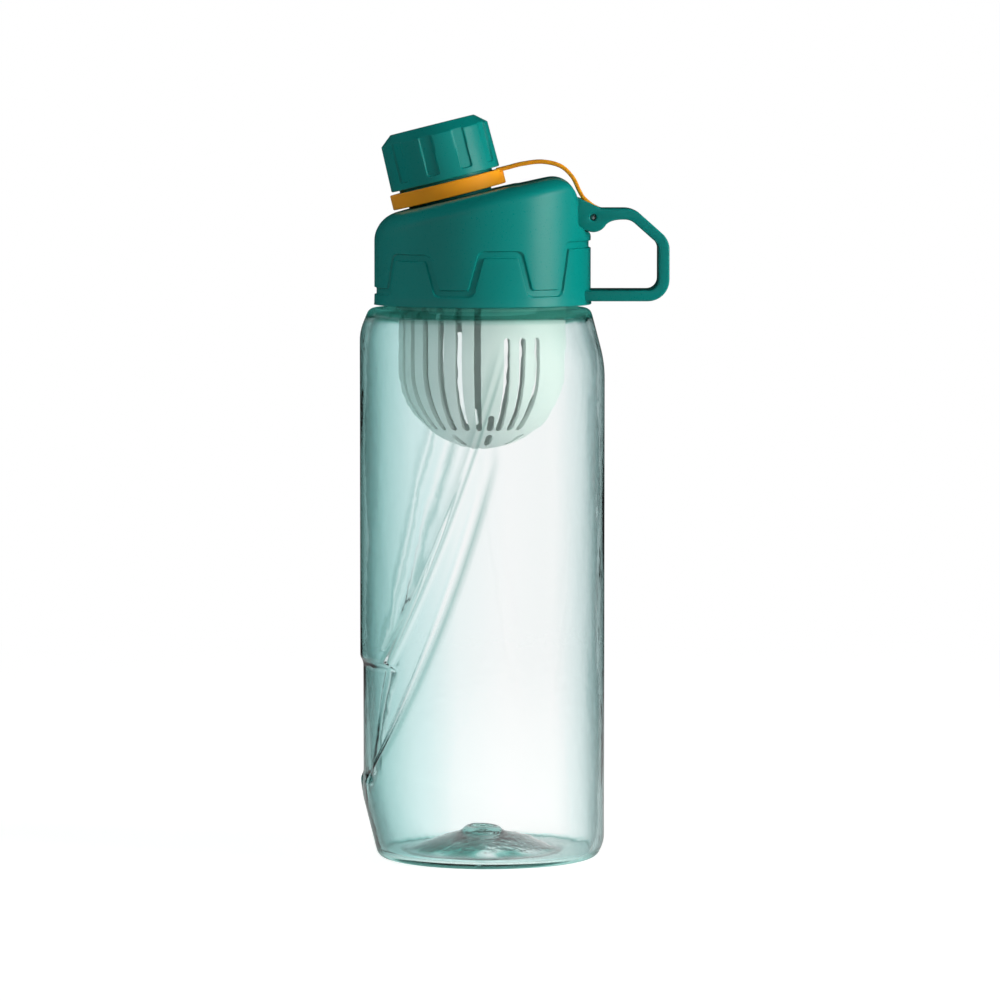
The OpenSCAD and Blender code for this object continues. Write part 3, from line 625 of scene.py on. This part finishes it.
turned = add(slots, "ShaderNodeCombineXYZ", {}, {"Z": turned})
cutters = add(slots, "GeometryNodeInstanceOnPoints", {},
              {"Points": spots, "Instance": bar, "Rotation": turned})
cutters = add(slots, "GeometryNodeRealizeInstances", {}, {0: cutters})
cut = add(slots, "GeometryNodeMeshBoolean", {"operation": "DIFFERENCE", "solver": "EXACT"},
          {"Mesh 1": given["Geometry"], "Mesh 2": cutters})
made = add(slots, "GeometryNodeSetMaterial", {}, {"Geometry": cut, "Material": given["Material"]})
add(slots, "NodeGroupOutput", {}, {0: made})


def cut_slots(work, **sizes):
    """Cuts one ring of slots out of an object with the tree above; angles in degrees, lengths in mm."""
    sizes = {"Width": SLOT_W, "Corner": SLOT_CORNER, "Outside": SLOT_OUTSIDE, **sizes}
    cutter = work.modifiers.new("slots", "NODES")
    cutter.node_group = slots
    for item in slots.interface.items_tree:
        if item.in_out == "INPUT" and item.name in sizes:
            value = sizes[item.name]
            if item.name in ("Start", "Pitch"):
                value = math.radians(value)
            elif item.name != "Count":
                value = value * MM
            cutter[item.identifier] = value
        elif item.name == "Material":
            cutter[item.identifier] = frosted


def applied(work, name):
    """The object's evaluated mesh as plain data; the object itself goes."""
    bpy.context.view_layer.update()
    mesh = bpy.data.meshes.new_from_object(work.evaluated_get(bpy.context.evaluated_depsgraph_get()))
    mesh.name = name
    bpy.data.objects.remove(work)
    return mesh


def crisp(mesh, degrees):
    """Smooth shading, but for edges that turn by more than that angle."""
    mesh.shade_smooth()
    mesh.set_sharp_from_angle(angle=math.radians(degrees))
    return mesh


def even_columns(count):
    """Turns all round in even steps."""
    return np.linspace(0, 360, count, endpoint=False)


def ball_rows(radius, centre_z, count, turn):
    """Rows up the lower half of a ball."""
    climb = np.radians(np.linspace(-90, 0, count + 1)[1:])
    return rings(turn, [(radius * math.cos(b), centre_z + radius * math.sin(b)) for b in climb])


turn = even_columns(180)
dome_z = BASKET_Z + BASKET_R
inner_r, edge_r, flange_low = BASKET_R - BASKET_WALL, BASKET_R + FLANGE_W, FLANGE_Z - FLANGE_T
profile = [(BASKET_R, z) for z in np.arange(dome_z + 3, flange_low - 1, 3)]
profile += [(BASKET_R, flange_low - 0.4), (BASKET_R + 0.4, flange_low), (edge_r - 0.4, flange_low),
            (edge_r, flange_low + 0.4), (edge_r, FLANGE_Z - 0.4), (edge_r - 0.4, FLANGE_Z),
            (inner_r + 0.5, FLANGE_Z), (inner_r, FLANGE_Z - 0.5)]
profile += [(inner_r, z) for z in np.arange(FLANGE_Z - 3, dome_z + 1, -3)]
rows = ball_rows(BASKET_R, dome_z, 24, turn) + rings(turn, profile) + ball_rows(inner_r, dome_z, 22, turn)[::-1]
work = placed("basket_work", outward(lathe_mesh("basket_work", rows)))
# front and rear each have six long slots, three short ones and a stub, and the ball's end has eight slits
for middle in (-90, 90):
    for count, first, pitch, top in ((6, -3 - 5 * LONG_PITCH, LONG_PITCH, LONG_TOP),
                                     (3, 17, SHORT_PITCH, SHORT_TOP), (1, 8, 0, STUB_TOP)):
        cut_slots(work, Count=count, Start=middle + first, Pitch=pitch, Low=SLOT_FOOT, High=top,
                  Inside=SLOT_INSIDE)
cut_slots(work, Count=8, Start=-81, Pitch=45, Low=BASKET_Z + 1.6, High=BASKET_Z + 5.4, Inside=SLIT_INSIDE)
basket_mesh = crisp(applied(work, "basket_frosted"), 32)
piece("basket_frosted", basket_mesh, frosted, "basket", "infuser_basket")


# ---------- Gasket ----------
# A flat ring of milky silicone, moulded, that the lid presses on the basket's flange. The same silicone
# makes the sealing disc in the cap.

def dress(node, material):
    """Gives a CAD node its material."""
    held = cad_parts[node].data.materials
    held.clear()
    held.append(material)


# Moulded silicone: milky because light scatters under its skin, with a broad soft gloss.
milky, tree, place = new_material("milky_silicone")
tone = clouded(tree, place, 6, "D9DEDC", "E8ECEA")
rubber = add(tree, "ShaderNodeBsdfPrincipled", {},
             {"Base Color": tone, "Roughness": 0.5, "IOR": 1.41, "Subsurface Weight": 0.2,
              "Subsurface Scale": 1.0 * MM})
add(tree, "ShaderNodeOutputMaterial", {}, {0: rubber})
dress("lid_gasket", milky)
dress("cap_seal", milky)


# ---------- Lid ----------
# Teal polypropylene, injection-moulded with a fine spark-eroded skin, in two parts that snap together:
# the shell with the handle, and the insert with the flange, the inner skirt and the spout.

# Spark-eroded steel gives moulded polypropylene a fine grain: a satin gloss that fades softly. The grain is
# drawn at 0.45 mm, three times as coarse as a real one, so that it shows.
teal, tree, place = new_material("teal_polypropylene_spark_texture")
tone = clouded(tree, place, 18, "008983", "00918B")
grain = add(tree, "ShaderNodeTexNoise", {}, {"Vector": place, "Scale": 1 / (0.45 * MM), "Detail": 3.0})
rough = add(tree, "ShaderNodeMapRange", {}, {"Value": grain, "To Min": 0.24, "To Max": 0.34})
bump = add(tree, "ShaderNodeBump", {}, {"Strength": 0.25, "Distance": 0.04 * MM, "Height": grain})
plastic = add(tree, "ShaderNodeBsdfPrincipled", {},
              {"Base Color": tone, "Roughness": rough, "IOR": 1.49, "Specular IOR Level": 0.5, "Normal": bump})
add(tree, "ShaderNodeOutputMaterial", {}, {0: plastic})

# The insert is moulded in the same teal above its flange, over a pale natural skirt, both smooth and satin.
INSERT_TEAL_FROM = 206.2
two_tone, tree, place = new_material("natural_and_teal_polypropylene")
height = add(tree, "ShaderNodeSeparateXYZ", {}, {0: place}).outputs["Z"]
above = add(tree, "ShaderNodeMath", {"operation": "GREATER_THAN"}, {0: height, 1: INSERT_TEAL_FROM * MM})
pale = clouded(tree, place, 12, "C9D2CF", "D6DEDB")
tone = add(tree, "ShaderNodeMix", COLOURS, {0: above, 6: pale, 7: "007A74"})
plastic = add(tree, "ShaderNodeBsdfPrincipled", {},
              {"Base Color": tone, "Roughness": 0.45, "IOR": 1.49, "Specular IOR Level": 0.3})
add(tree, "ShaderNodeOutputMaterial", {}, {0: plastic})
dress("lid_insert", two_tone)

LID_Z, LID_R, RIM_R, RIM_H, LID_WALL = 181.2, 35.4, 35.7, 2.6, 2.0
SLOPE = math.radians(13.2)
SPOUT_X, SPOUT_Z, SPOUT_TILT = -10.3, 215.2, math.radians(14)
TOP_X, TOP_FLAT_R, TOP_ROUND, TOP_DROP = 9.8, 27.5, 10.0, 0.1
PAD_X, PAD_Z, CROWN_R, LEDGE_RUN, LEDGE_RISE = 31.1, LID_Z + 26, 8.5, 6, 4
WALL_BLEND, CROWN_BLEND, LEDGE_BLEND = 0.5, 0.8, 1.0


def lid_distance(x, y, z):
    """How far a point lies outside the lid's form, in mm: wall, rounded sloping top, and crown over a pad."""
    cos, sin = math.cos(SLOPE), math.sin(SLOPE)
    wall = np.hypot(x, y) - LID_R - (RIM_R - LID_R) * np.clip(1 - (z - LID_Z) / RIM_H, 0, 1)
    u = (x - SPOUT_X) * cos + (z - SPOUT_Z) * sin - TOP_X
    out = np.hypot(u, y) - TOP_FLAT_R
    up = (z - SPOUT_Z) * cos - (x - SPOUT_X) * sin - TOP_DROP + TOP_ROUND
    top = np.where(out > 0, np.hypot(out, up), up) - TOP_ROUND
    top = np.where(up * cos < out * sin, out * cos + up * sin - TOP_ROUND, top)
    cx = PAD_X - CROWN_R
    cz = SPOUT_Z + (cx - SPOUT_X) * math.tan(SLOPE) - CROWN_R / cos
    flat = np.maximum(x - PAD_X, (z - cz) * cos - (x - cx) * sin - CROWN_R)
    inside_arc = (z > cz) & ((x - cx) * cos + (z - cz) * sin > 0)
    crown = np.where(inside_arc, np.hypot(x - cx, z - cz) - CROWN_R, flat)
    ledge = ((z - PAD_Z) * LEDGE_RUN + (x - PAD_X) * LEDGE_RISE) / math.hypot(LEDGE_RUN, LEDGE_RISE)
    crown = smooth_min(crown, ledge, LEDGE_BLEND)
    form = -smooth_min(-wall, -top, WALL_BLEND)
    return -smooth_min(-form, -crown, CROWN_BLEND)


def reach(turn, z0, rise, inset):
    """How far rays from (0, 0, z0) go before they are inset mm inside the lid's surface."""
    angle = np.radians(180 + turn)
    dx, dy, dz = np.cos(angle) * math.cos(rise), np.sin(angle) * math.cos(rise), math.sin(rise)
    near, far = np.zeros_like(turn), np.full_like(turn, 70.0)
    for _ in range(40):
        mid = (near + far) / 2
        outside = lid_distance(mid * dx, mid * dy, z0 + mid * dz) > -inset
        near, far = np.where(outside, near, mid), np.where(outside, mid, far)
    return near


def rounded(corners):
    """Outline through (x, z, radius) corners, each rounded by its radius."""
    found = []
    for k, (x, z, r) in enumerate(corners):
        if not r:
            found.append((x, z))
            continue
        here = np.array((x, z))
        back = np.array(corners[k - 1][:2]) - here
        ahead = np.array(corners[(k + 1) % len(corners)][:2]) - here
        back, ahead = back / np.hypot(*back), ahead / np.hypot(*ahead)
        half = math.acos(float(np.clip(back @ ahead, -1, 1))) / 2
        centre = here + (back + ahead) / np.hypot(*(back + ahead)) * r / math.sin(half)
        p, q = here + back * r / math.tan(half) - centre, here + ahead * r / math.tan(half) - centre
        a0, a1 = math.atan2(p[1], p[0]), math.atan2(q[1], q[0])
        a1 = a0 + (a1 - a0 + math.pi) % math.tau - math.pi
        found += [tuple(centre + r * np.array((math.cos(a), math.sin(a)))) for a in np.linspace(a0, a1, 9)]
    return found


# The wave groove: each slanted run with its two heights, counted in degrees from the front towards the handle
GROOVE_W, GROOVE_DEPTH, GROOVE_EDGE, RUN_TURN, WAVE_R = 2.5, 0.7, 0.32, 5.5, 1.7
GROOVE_LOW, GROOVE_HIGHS = LID_Z + 4.5, (LID_Z + 15.8, LID_Z + 17, LID_Z + 19.7)
RUN_MIDDLES, COLUMN_W = (-56, -27, -3, 23.3, 48.4), 0.48
levels = (GROOVE_LOW, GROOVE_HIGHS[0], GROOVE_LOW, GROOVE_HIGHS[1], GROOVE_LOW, GROOVE_HIGHS[2])
flanks = []
for k, at in enumerate(RUN_MIDDLES):
    flanks.append((at - RUN_TURN / 2, levels[k], at + RUN_TURN / 2, levels[k + 1]))
    flanks.append((180 - at - RUN_TURN / 2, levels[k + 1], 180 - at + RUN_TURN / 2, levels[k]))
# from "counted from the front" to the turn from the spout's side, where the meshes start
flanks = sorted(((a0 + 90) % 360, z0, (a0 + 90) % 360 + a1 - a0, z1) for a0, z0, a1, z1 in flanks)
wave = [(math.radians(a) * LID_R, z, WAVE_R) for a0, z0, a1, z1 in flanks for a, z in ((a0, z0), (a1, z1))]
around = math.tau * LID_R
wave = rounded([(wave[-1][0] - around, wave[-1][1], 0)] + wave + [(wave[0][0] + around, wave[0][1], 0)])


def groove_depth_at(turn, z):
    """Depth of the wave groove, from the distance to its centre line on the unrolled wall."""
    u, v = np.radians(turn) * LID_R, np.full_like(turn, z)
    nearest = np.full_like(turn, 99.0)
    for (u0, z0), (u1, z1) in zip(wave, wave[1:]):
        if not min(z0, z1) - GROOVE_W < z < max(z0, z1) + GROOVE_W:
            continue
        t = np.clip(((u - u0) * (u1 - u0) + (v - z0) * (z1 - z0)) / ((u1 - u0) ** 2 + (z1 - z0) ** 2), 0, 1)
        nearest = np.minimum(nearest, np.hypot(u - u0 - t * (u1 - u0), v - z0 - t * (z1 - z0)))
    return GROOVE_DEPTH * ease((GROOVE_W / 2 - nearest) / GROOVE_EDGE)


# how many columns lie between each slanted run and the next
flank_gaps = []
for k, run in enumerate(flanks):
    after = flanks[(k + 1) % len(flanks)][0] + (360 if k == len(flanks) - 1 else 0)
    flank_gaps.append(max(8, round((after - run[2]) * LID_R * math.pi / 180 / COLUMN_W)))


def lid_columns(z):
    """Turns for one row, with columns that follow the groove's slanted edges."""
    half = math.degrees(GROOVE_W / 2 / LID_R)
    edge = math.degrees(GROOVE_EDGE / LID_R)
    knots = []
    for a0, z0, a1, z1 in flanks:
        c = a0 + (a1 - a0) * min(max((z - z0) / (z1 - z0), 0), 1)
        knots += [c - half, c - half + edge, c + half - edge, c + half]
    knots.append(knots[0] + 360)
    found = []
    for k in range(len(knots) - 1):
        gap = flank_gaps[k // 4] if k % 4 == 3 else (2, 5, 2)[k % 4]
        found += list(np.linspace(knots[k], knots[k + 1], gap, endpoint=False))
    return np.array(found)


# the rows of the rounded top come from rays that start on the axis at this height
mid_z = LID_Z + 22
still = lid_columns(mid_z)


def top_rows(rises, inset):
    """Rows round the lid's top, where rays come out that rise from its middle at these degrees."""
    found = []
    for rise in np.radians(rises):
        far = reach(still, mid_z, rise, inset)
        found.append((still, far * math.cos(rise), mid_z + far * math.sin(rise)))
    return found


rows = top_rows(np.arange(86, -1, -7), LID_WALL)
for z in np.linspace(mid_z - 3, LID_Z, 7):
    rows.append((lid_columns(z), reach(lid_columns(z), z, 0, LID_WALL), z + 0 * still))
rows += rings(lid_columns(LID_Z), [(RIM_R - 0.3, LID_Z)])
# rows outside, set close along the groove's level edges
marks = [level + way * (GROOVE_W / 2 - GROOVE_EDGE * share) for level in (GROOVE_LOW,) + GROOVE_HIGHS
         for way in (-1, 1) for share in (-0.4, 0, 0.5, 1, 1.4)]
between = [z for z in knots_to_heights((LID_Z + 0.25, LID_Z + 2.6, 0.6), (LID_Z + 2.6, mid_z, 0.4))
           if min(abs(z - mark) for mark in marks) > 0.18]
for z in sorted(marks + between):
    turn = lid_columns(z)
    rows.append((turn, reach(turn, z, 0, 0) - groove_depth_at(turn, z), z + 0 * turn))
rows += top_rows(np.concatenate([np.arange(0.7, 12, 0.7), np.arange(12, 88, 1.7)]), 0)
shell_mesh = outward(lathe_mesh("lid_shell_skin", rows))


def in_spout_frame(mesh):
    """Moves a mesh drawn round +Z to the tilted spout's axis, where it comes through the lid's top."""
    mesh.transform(Matrix.Translation((SPOUT_X * MM, 0, SPOUT_Z * MM)) @ Matrix.Rotation(-SPOUT_TILT, 4, "Y"))
    return mesh


def pipe_rows(r, z0, z1):
    """Rows of a plain round bar."""
    return rings(even_columns(96), [(r / 2, z0), (r, z0), (r, z1), (r / 2, z1)])


def cut_out(work, tool_mesh):
    """Takes the tool's mesh out of an object."""
    tool = placed("tool", tool_mesh)
    hole = work.modifiers.new("hole", "BOOLEAN")
    hole.operation = "DIFFERENCE"
    hole.solver = "EXACT"
    hole.object = tool
    mesh = applied(work, work.name)
    bpy.data.objects.remove(tool)
    return mesh


BOSS_R = 13.88
boss_hole = in_spout_frame(outward(lathe_mesh("boss_hole", pipe_rows(BOSS_R, -8, 8))))
skin_mesh = crisp(cut_out(placed("lid_shell_skin", shell_mesh), boss_hole), 40)
piece("lid_shell_skin", skin_mesh, teal, "lid", "lid_shell")

# The handle and the lug that holds the tether's pin are one moulding with the shell, 24 mm wide.
HANDLE_W, HANDLE_T, HANDLE_REACH, BAR_FROM = 24.0, 3.5, 60.8, 32.8
HANDLE_HI, HANDLE_LO, SLANT_X, SLANT = LID_Z + 31.3, LID_Z + 1.3, 49.4, math.radians(41.6)
PIN_X, PIN_Z, PIN_HOLE_R, LUG_R, LUG_EDGE = 36.0, LID_Z + 28.5, 1.05, 4.8, 0.55
STRAP_W, STRAP_ROOM_W, EYE_ROOM_R = 13.0, 13.6, 2.9


def slab(name, outlines, width, edge):
    """A slab across Y from outlines in x and z, inner ones as holes, with its edges rounded by edge."""
    drawn = bpy.data.curves.new(name, "CURVE")
    drawn.dimensions = "2D"
    drawn.fill_mode = "BOTH"
    drawn.extrude = (width / 2 - edge) * MM
    drawn.bevel_depth = edge * MM
    drawn.bevel_resolution = 3
    drawn.offset = -edge * MM
    for outline in outlines:
        line = drawn.splines.new("POLY")
        line.points.add(len(outline) - 1)
        for point, (x, z) in zip(line.points, outline):
            point.co = (x * MM, z * MM, 0, 1)
        line.use_cyclic_u = True
    mesh = applied(placed(name, drawn), name)
    mesh.transform(Matrix.Rotation(math.pi / 2, 4, "X"))
    welded = bmesh.new()
    welded.from_mesh(mesh)
    bmesh.ops.remove_doubles(welded, verts=welded.verts, dist=0.001 * MM)
    bmesh.ops.recalc_face_normals(welded, faces=welded.faces)
    welded.to_mesh(mesh)
    welded.free()
    return mesh


def pin_arc(r, a0, a1, count):
    """Points round the pin's axis, from angle a0 to a1 in degrees."""
    return [(PIN_X + r * math.cos(a), PIN_Z + r * math.sin(a)) for a in np.radians(np.linspace(a0, a1, count))]


slant_z = HANDLE_HI - (HANDLE_REACH - SLANT_X) * math.tan(SLANT)
inner_x = SLANT_X - HANDLE_T * math.tan(SLANT / 2)
inner_z = slant_z - HANDLE_T * math.tan((math.pi / 2 - SLANT) / 2)
# under the lug a small swell leads into the bar
under = [(x, z, 0) for x, z in pin_arc(LUG_R, -118, -30, 12)]
swell = [under[-1][:2], (PIN_X + 5.6, HANDLE_HI - HANDLE_T - 0.1), (PIN_X + 9.4, HANDLE_HI - HANDLE_T)]
swell = [np.array(p) for p in swell]
for t in np.linspace(0.1, 1, 8):
    x, z = (1 - t) ** 2 * swell[0] + 2 * t * (1 - t) * swell[1] + t * t * swell[2]
    under.append((x, z, 0))
outline = rounded([
    (BAR_FROM, HANDLE_LO, 0), (HANDLE_REACH, HANDLE_LO, 7), (HANDLE_REACH, slant_z, 7), (SLANT_X, HANDLE_HI, 8),
    (38.8, HANDLE_HI, 3), (32.2, PAD_Z + 8.4, 1.2), (30.3, PAD_Z + 9, 0), (30.3, PIN_Z - 2.4, 0),
    (31.2, PIN_Z - 3.6, 0), (33.3, PIN_Z - 4.3, 0)] + under + [
    (inner_x, HANDLE_HI - HANDLE_T, 5), (HANDLE_REACH - HANDLE_T, inner_z, 3.5),
    (HANDLE_REACH - HANDLE_T, HANDLE_LO + HANDLE_T, 3.5), (BAR_FROM, HANDLE_LO + HANDLE_T, 0)])
handle_mesh = slab("lid_handle", [outline, pin_arc(PIN_HOLE_R, 0, 345, 24)], HANDLE_W, LUG_EDGE)
# between the lug's cheeks is room for the strap and its eye
room = pin_arc(EYE_ROOM_R, 30, -200, 20) + [(32.9, PIN_Z + 4.4), (31.5, PIN_Z + 5.7), (31.5, PAD_Z + 12),
                                            (39.2, PAD_Z + 12), (39.2, PIN_Z + 1.5)]
strap_room = slab("strap_room", [room], STRAP_ROOM_W, 0.01)
handle_mesh = crisp(cut_out(placed("lid_handle", handle_mesh), strap_room), 35)
piece("lid_handle", handle_mesh, teal, "lid", "lid_shell")


# ---------- Tether ----------
# One moulding of orange silicone: a strap held on the lid's lug by a steel pin, and a ring round the
# spout that the cap turns in.

# Moulded silicone, coloured through: an even warm orange with a soft broad gloss, and a grain that is drawn
# coarser than the real one so that it shows.
orange, tree, place = new_material("orange_silicone")
tone = clouded(tree, place, 8, "F49E18", "FAA820")
grain = add(tree, "ShaderNodeTexNoise", {}, {"Vector": place, "Scale": 1 / (0.5 * MM), "Detail": 2.0})
bump = add(tree, "ShaderNodeBump", {}, {"Strength": 0.07, "Distance": 0.04 * MM, "Height": grain})
rubber = add(tree, "ShaderNodeBsdfPrincipled", {},
             {"Base Color": tone, "Roughness": 0.52, "IOR": 1.41, "Specular IOR Level": 0.3,
              "Subsurface Weight": 0.15, "Subsurface Scale": 1.2 * MM, "Normal": bump})
add(tree, "ShaderNodeOutputMaterial", {}, {0: rubber})

RING_R, RING_Z, RING_H, COLLAR_R, CATCH_R, CATCH_T, RING_EDGE = 18.9, 1.1, 4.9, 15.8, 16.9, 1.8, 0.35
ring_top = RING_Z + RING_H
profile = rounded([(r, z, RING_EDGE) for r, z in (
    (COLLAR_R, ring_top), (COLLAR_R, RING_Z + CATCH_T), (CATCH_R, RING_Z + CATCH_T), (CATCH_R, RING_Z),
    (RING_R, RING_Z), (RING_R, ring_top))])
ring_mesh = outward(lathe_mesh("tether_ring_soft", rings(even_columns(180), profile), ring=True))
piece("tether_ring_soft", in_spout_frame(ring_mesh), orange, "ring", "tether_ring")


def sweep(name, path, width, thickness_and_painted_shade, edge):
    """A strip of rounded section that follows a path in x and z, with closed ends."""
    path = np.array(path)
    along = np.gradient(path, axis=0)
    along /= np.hypot(along[:, 0], along[:, 1])[:, None]
    across = np.stack([-along[:, 1], along[:, 0]], 1)
    half_w, half_t = width / 2 - edge, thickness_and_painted_shade / 2 - edge
    section = []
    for sy, st, a0 in ((1, 1, 0), (-1, 1, 90), (-1, -1, 180), (1, -1, 270)):
        for a in np.radians(np.linspace(a0, a0 + 90, 5)):
            section.append((sy * half_w + edge * math.cos(a), st * half_t + edge * math.sin(a)))
    points, faces, count = [], [], len(section)
    for spot, side in zip(path, across):
        for y, t in section:
            points.append((spot[0] + side[0] * t, y, spot[1] + side[1] * t))
    for k in range(len(path) - 1):
        for j in range(count):
            a, b = k * count + j, k * count + (j + 1) % count
            faces.append((a, b, b + count, a + count))
    faces.append(tuple(range(count)))
    faces.append(tuple(range(len(points) - count, len(points))))
    mesh = bpy.data.meshes.new(name)
    mesh.from_pydata(np.array(points) * MM, [], faces)
    return outward(mesh)


def smooth_path(corners, count):
    """A smooth curve through points in x and z."""
    p = np.array(corners, float)
    p = np.vstack([2 * p[0] - p[1], p, 2 * p[-1] - p[-2]])
    found = []
    for k in range(1, len(p) - 2):
        for t in np.linspace(0, 1, count, endpoint=False):
            found.append(0.5 * (2 * p[k] + (p[k + 1] - p[k - 1]) * t
                                + (2 * p[k - 1] - 5 * p[k] + 4 * p[k + 1] - p[k + 2]) * t * t
                                + (3 * p[k] - p[k - 1] - 3 * p[k + 1] + p[k + 2]) * t ** 3))
    return found + [p[-2]]


STRAP_T, STRAP_EDGE, EYE_R, EYE_HOLE_R = 1.3, 0.45, 2.6, 1.0
STRAP_PATH = [(4.6, 224.8), (8.2, 225.7), (13.0, 226.9), (19.5, 227.6), (25.5, 226.2), (29.4, 222.6),
              (31.6, 218.2), (32.9, 216.0), (34.8, 214.2), (36.9, 212.6)]
strap_mesh = sweep("tether_strap_soft", smooth_path(STRAP_PATH, 8), STRAP_W, STRAP_T, STRAP_EDGE)
# its eye round the pin, and the web between the two
eye_mesh = slab("tether_eye", [pin_arc(EYE_R, 0, 345, 24), pin_arc(EYE_HOLE_R, 0, 340, 18)], STRAP_W, 0.2)
web = [(34.0, PIN_Z + 1.4), (38.0, PIN_Z + 1.4), (38.0, PIN_Z + 3.2), (34.0, PIN_Z + 5.0)]
web_mesh = slab("tether_web", [web], STRAP_W - 0.4, 0.1)
joined = bmesh.new()
for part in (strap_mesh, eye_mesh, web_mesh):
    joined.from_mesh(part)
strap_mesh = bpy.data.meshes.new("tether_strap_soft")
joined.to_mesh(strap_mesh)
joined.free()
strap = placed("tether_strap_soft", crisp(strap_mesh, 50))
strap.data.materials.append(orange)
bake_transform(strap)
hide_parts("tether_strap")

# Drawn stainless steel: fine lines along the wire, drawn at 0.15 mm so that they show, make its gloss dull.
steel, tree, place = new_material("drawn_stainless_steel")
stretch = add(tree, "ShaderNodeMapping", {}, {0: place, "Scale": (1, 0.05, 1)})
lines = add(tree, "ShaderNodeTexNoise", {}, {"Vector": stretch, "Scale": 1 / (0.15 * MM), "Detail": 2.0})
rough = add(tree, "ShaderNodeMapRange", {}, {"Value": lines, "To Min": 0.5, "To Max": 0.65})
metal = add(tree, "ShaderNodeBsdfPrincipled", {}, {"Base Color": "DADCDD", "Metallic": 1.0, "Roughness": rough})
add(tree, "ShaderNodeOutputMaterial", {}, {0: metal})

PIN_R, PIN_END_R, PIN_HALF = 0.95, 0.62, 11.85
half_pin = [(0.1, PIN_HALF), (0.3, PIN_HALF - 0.06), (0.48, PIN_HALF - 0.2), (PIN_END_R, PIN_HALF - 0.45),
            (PIN_END_R, PIN_HALF - 0.8), (PIN_R, PIN_HALF - 1.1)]
rows = rings(even_columns(48), [(r, -z) for r, z in half_pin] + half_pin[::-1])
pin_mesh = lathe_mesh("tether_pin_drawn", rows)
pin_mesh.transform(Matrix.Translation((PIN_X * MM, 0, PIN_Z * MM)) @ Matrix.Rotation(math.pi / 2, 4, "X"))
pin_mesh = crisp(outward(pin_mesh), 30)
piece("tether_pin_drawn", pin_mesh, steel, "lid", "tether_pin")


# ---------- Cap ----------
# Teal polypropylene like the lid: a shell with ten grip recesses, pressed over a core with the thread and
# the catch that holds the tether's ring.

dress("cap_core", teal)

CAP_Z, CAP_H, CAP_R, CAP_TAPER, CHAMFER, CHAMFER_H, CAP_WALL = 6.9, 18.2, 18.1, 0.3, 3.8, 3.2, 1.7
RECESSES, RECESS_W, RECESS_DEPTH, RECESS_FOOT, RECESS_EDGE, RECESS_CORNER = 10, 4.4, 0.75, 2.1, 0.3, 0.9
FIRST_RECESS, RECESS_PITCH = 80, 360 / RECESSES
SIDE_TOP = CAP_H - CHAMFER_H


def recess_share(turn, z):
    """1 inside a grip recess and 0 outside it, and the angle from its middle, at a turn and height."""
    aside = (turn - FIRST_RECESS + RECESS_PITCH / 2) % RECESS_PITCH - RECESS_PITCH / 2
    side = np.abs(np.radians(aside) * CAP_R) - RECESS_W / 2 + RECESS_CORNER
    foot = RECESS_FOOT + RECESS_CORNER - z + 0 * turn
    beyond = np.hypot(np.maximum(side, 0), np.maximum(foot, 0)) + np.minimum(np.maximum(side, foot), 0)
    return ease((RECESS_CORNER - beyond) / RECESS_EDGE), np.radians(aside)


def cap_columns():
    """Turns for the cap's rows, close together at the recesses' edges."""
    half, edge = math.degrees(RECESS_W / 2 / CAP_R), math.degrees(RECESS_EDGE / CAP_R)
    knots = [-half, -half + edge, half - edge, half, RECESS_PITCH - half]
    one = []
    for k, gap in enumerate((3, 8, 3, 12)):
        one += list(np.linspace(knots[k], knots[k + 1], gap, endpoint=False))
    return np.array([FIRST_RECESS + RECESS_PITCH * k + a for k in range(RECESSES) for a in one])


turn = cap_columns()
outer = rounded([(0, 0, 0), (CAP_R, 0, 0.4), (CAP_R - CAP_TAPER, SIDE_TOP, 0.5),
                 (CAP_R - CAP_TAPER - CHAMFER, CAP_H, 0.6), (0, CAP_H, 0)])[1:-1]
foot = [p for p in outer if p[1] < 1]
rest = [p for p in outer if p[1] > SIDE_TOP - 0.6]
run = [(CAP_R - CAP_TAPER * z / SIDE_TOP, z) for z in
       knots_to_heights((foot[-1][1] + 0.3, RECESS_FOOT - 0.1, 0.4),
                        (RECESS_FOOT - 0.1, RECESS_FOOT + 1.2, 0.13),
                        (RECESS_FOOT + 1.2, rest[0][1] - 0.3, 1.1))]
inner = [(6, CAP_H - CAP_WALL), (CAP_R - CAP_TAPER - CHAMFER - CAP_WALL, CAP_H - CAP_WALL),
         (CAP_R - CAP_TAPER + 0.2 - CAP_WALL, SIDE_TOP - 0.6), (CAP_R - CAP_WALL, 0)]
rows = rings(turn, [(r, CAP_Z + z) for r, z in inner])
path = foot + run + rest
fine = []
for (r0, z0), (r1, z1) in zip(path, path[1:]):
    steps = max(1, math.ceil(math.hypot(r1 - r0, z1 - z0) / (0.35 if z0 > SIDE_TOP - 0.7 else 2)))
    fine += [(r0 + (r1 - r0) * t, z0 + (z1 - z0) * t) for t in np.linspace(0, 1, steps, endpoint=False)]
fine += [path[-1], (11.0, CAP_H), (6.0, CAP_H)]
for r, z in fine:
    share, aside = recess_share(turn, z)
    floor_r = (CAP_R - RECESS_DEPTH) / np.cos(aside)
    rows.append((turn, r - share * np.maximum(r - floor_r, 0), CAP_Z + z + 0 * turn))
cap_mesh = crisp(in_spout_frame(outward(lathe_mesh("cap_shell_skin", rows))), 50)
piece("cap_shell_skin", cap_mesh, teal, "cap", "cap_shell")
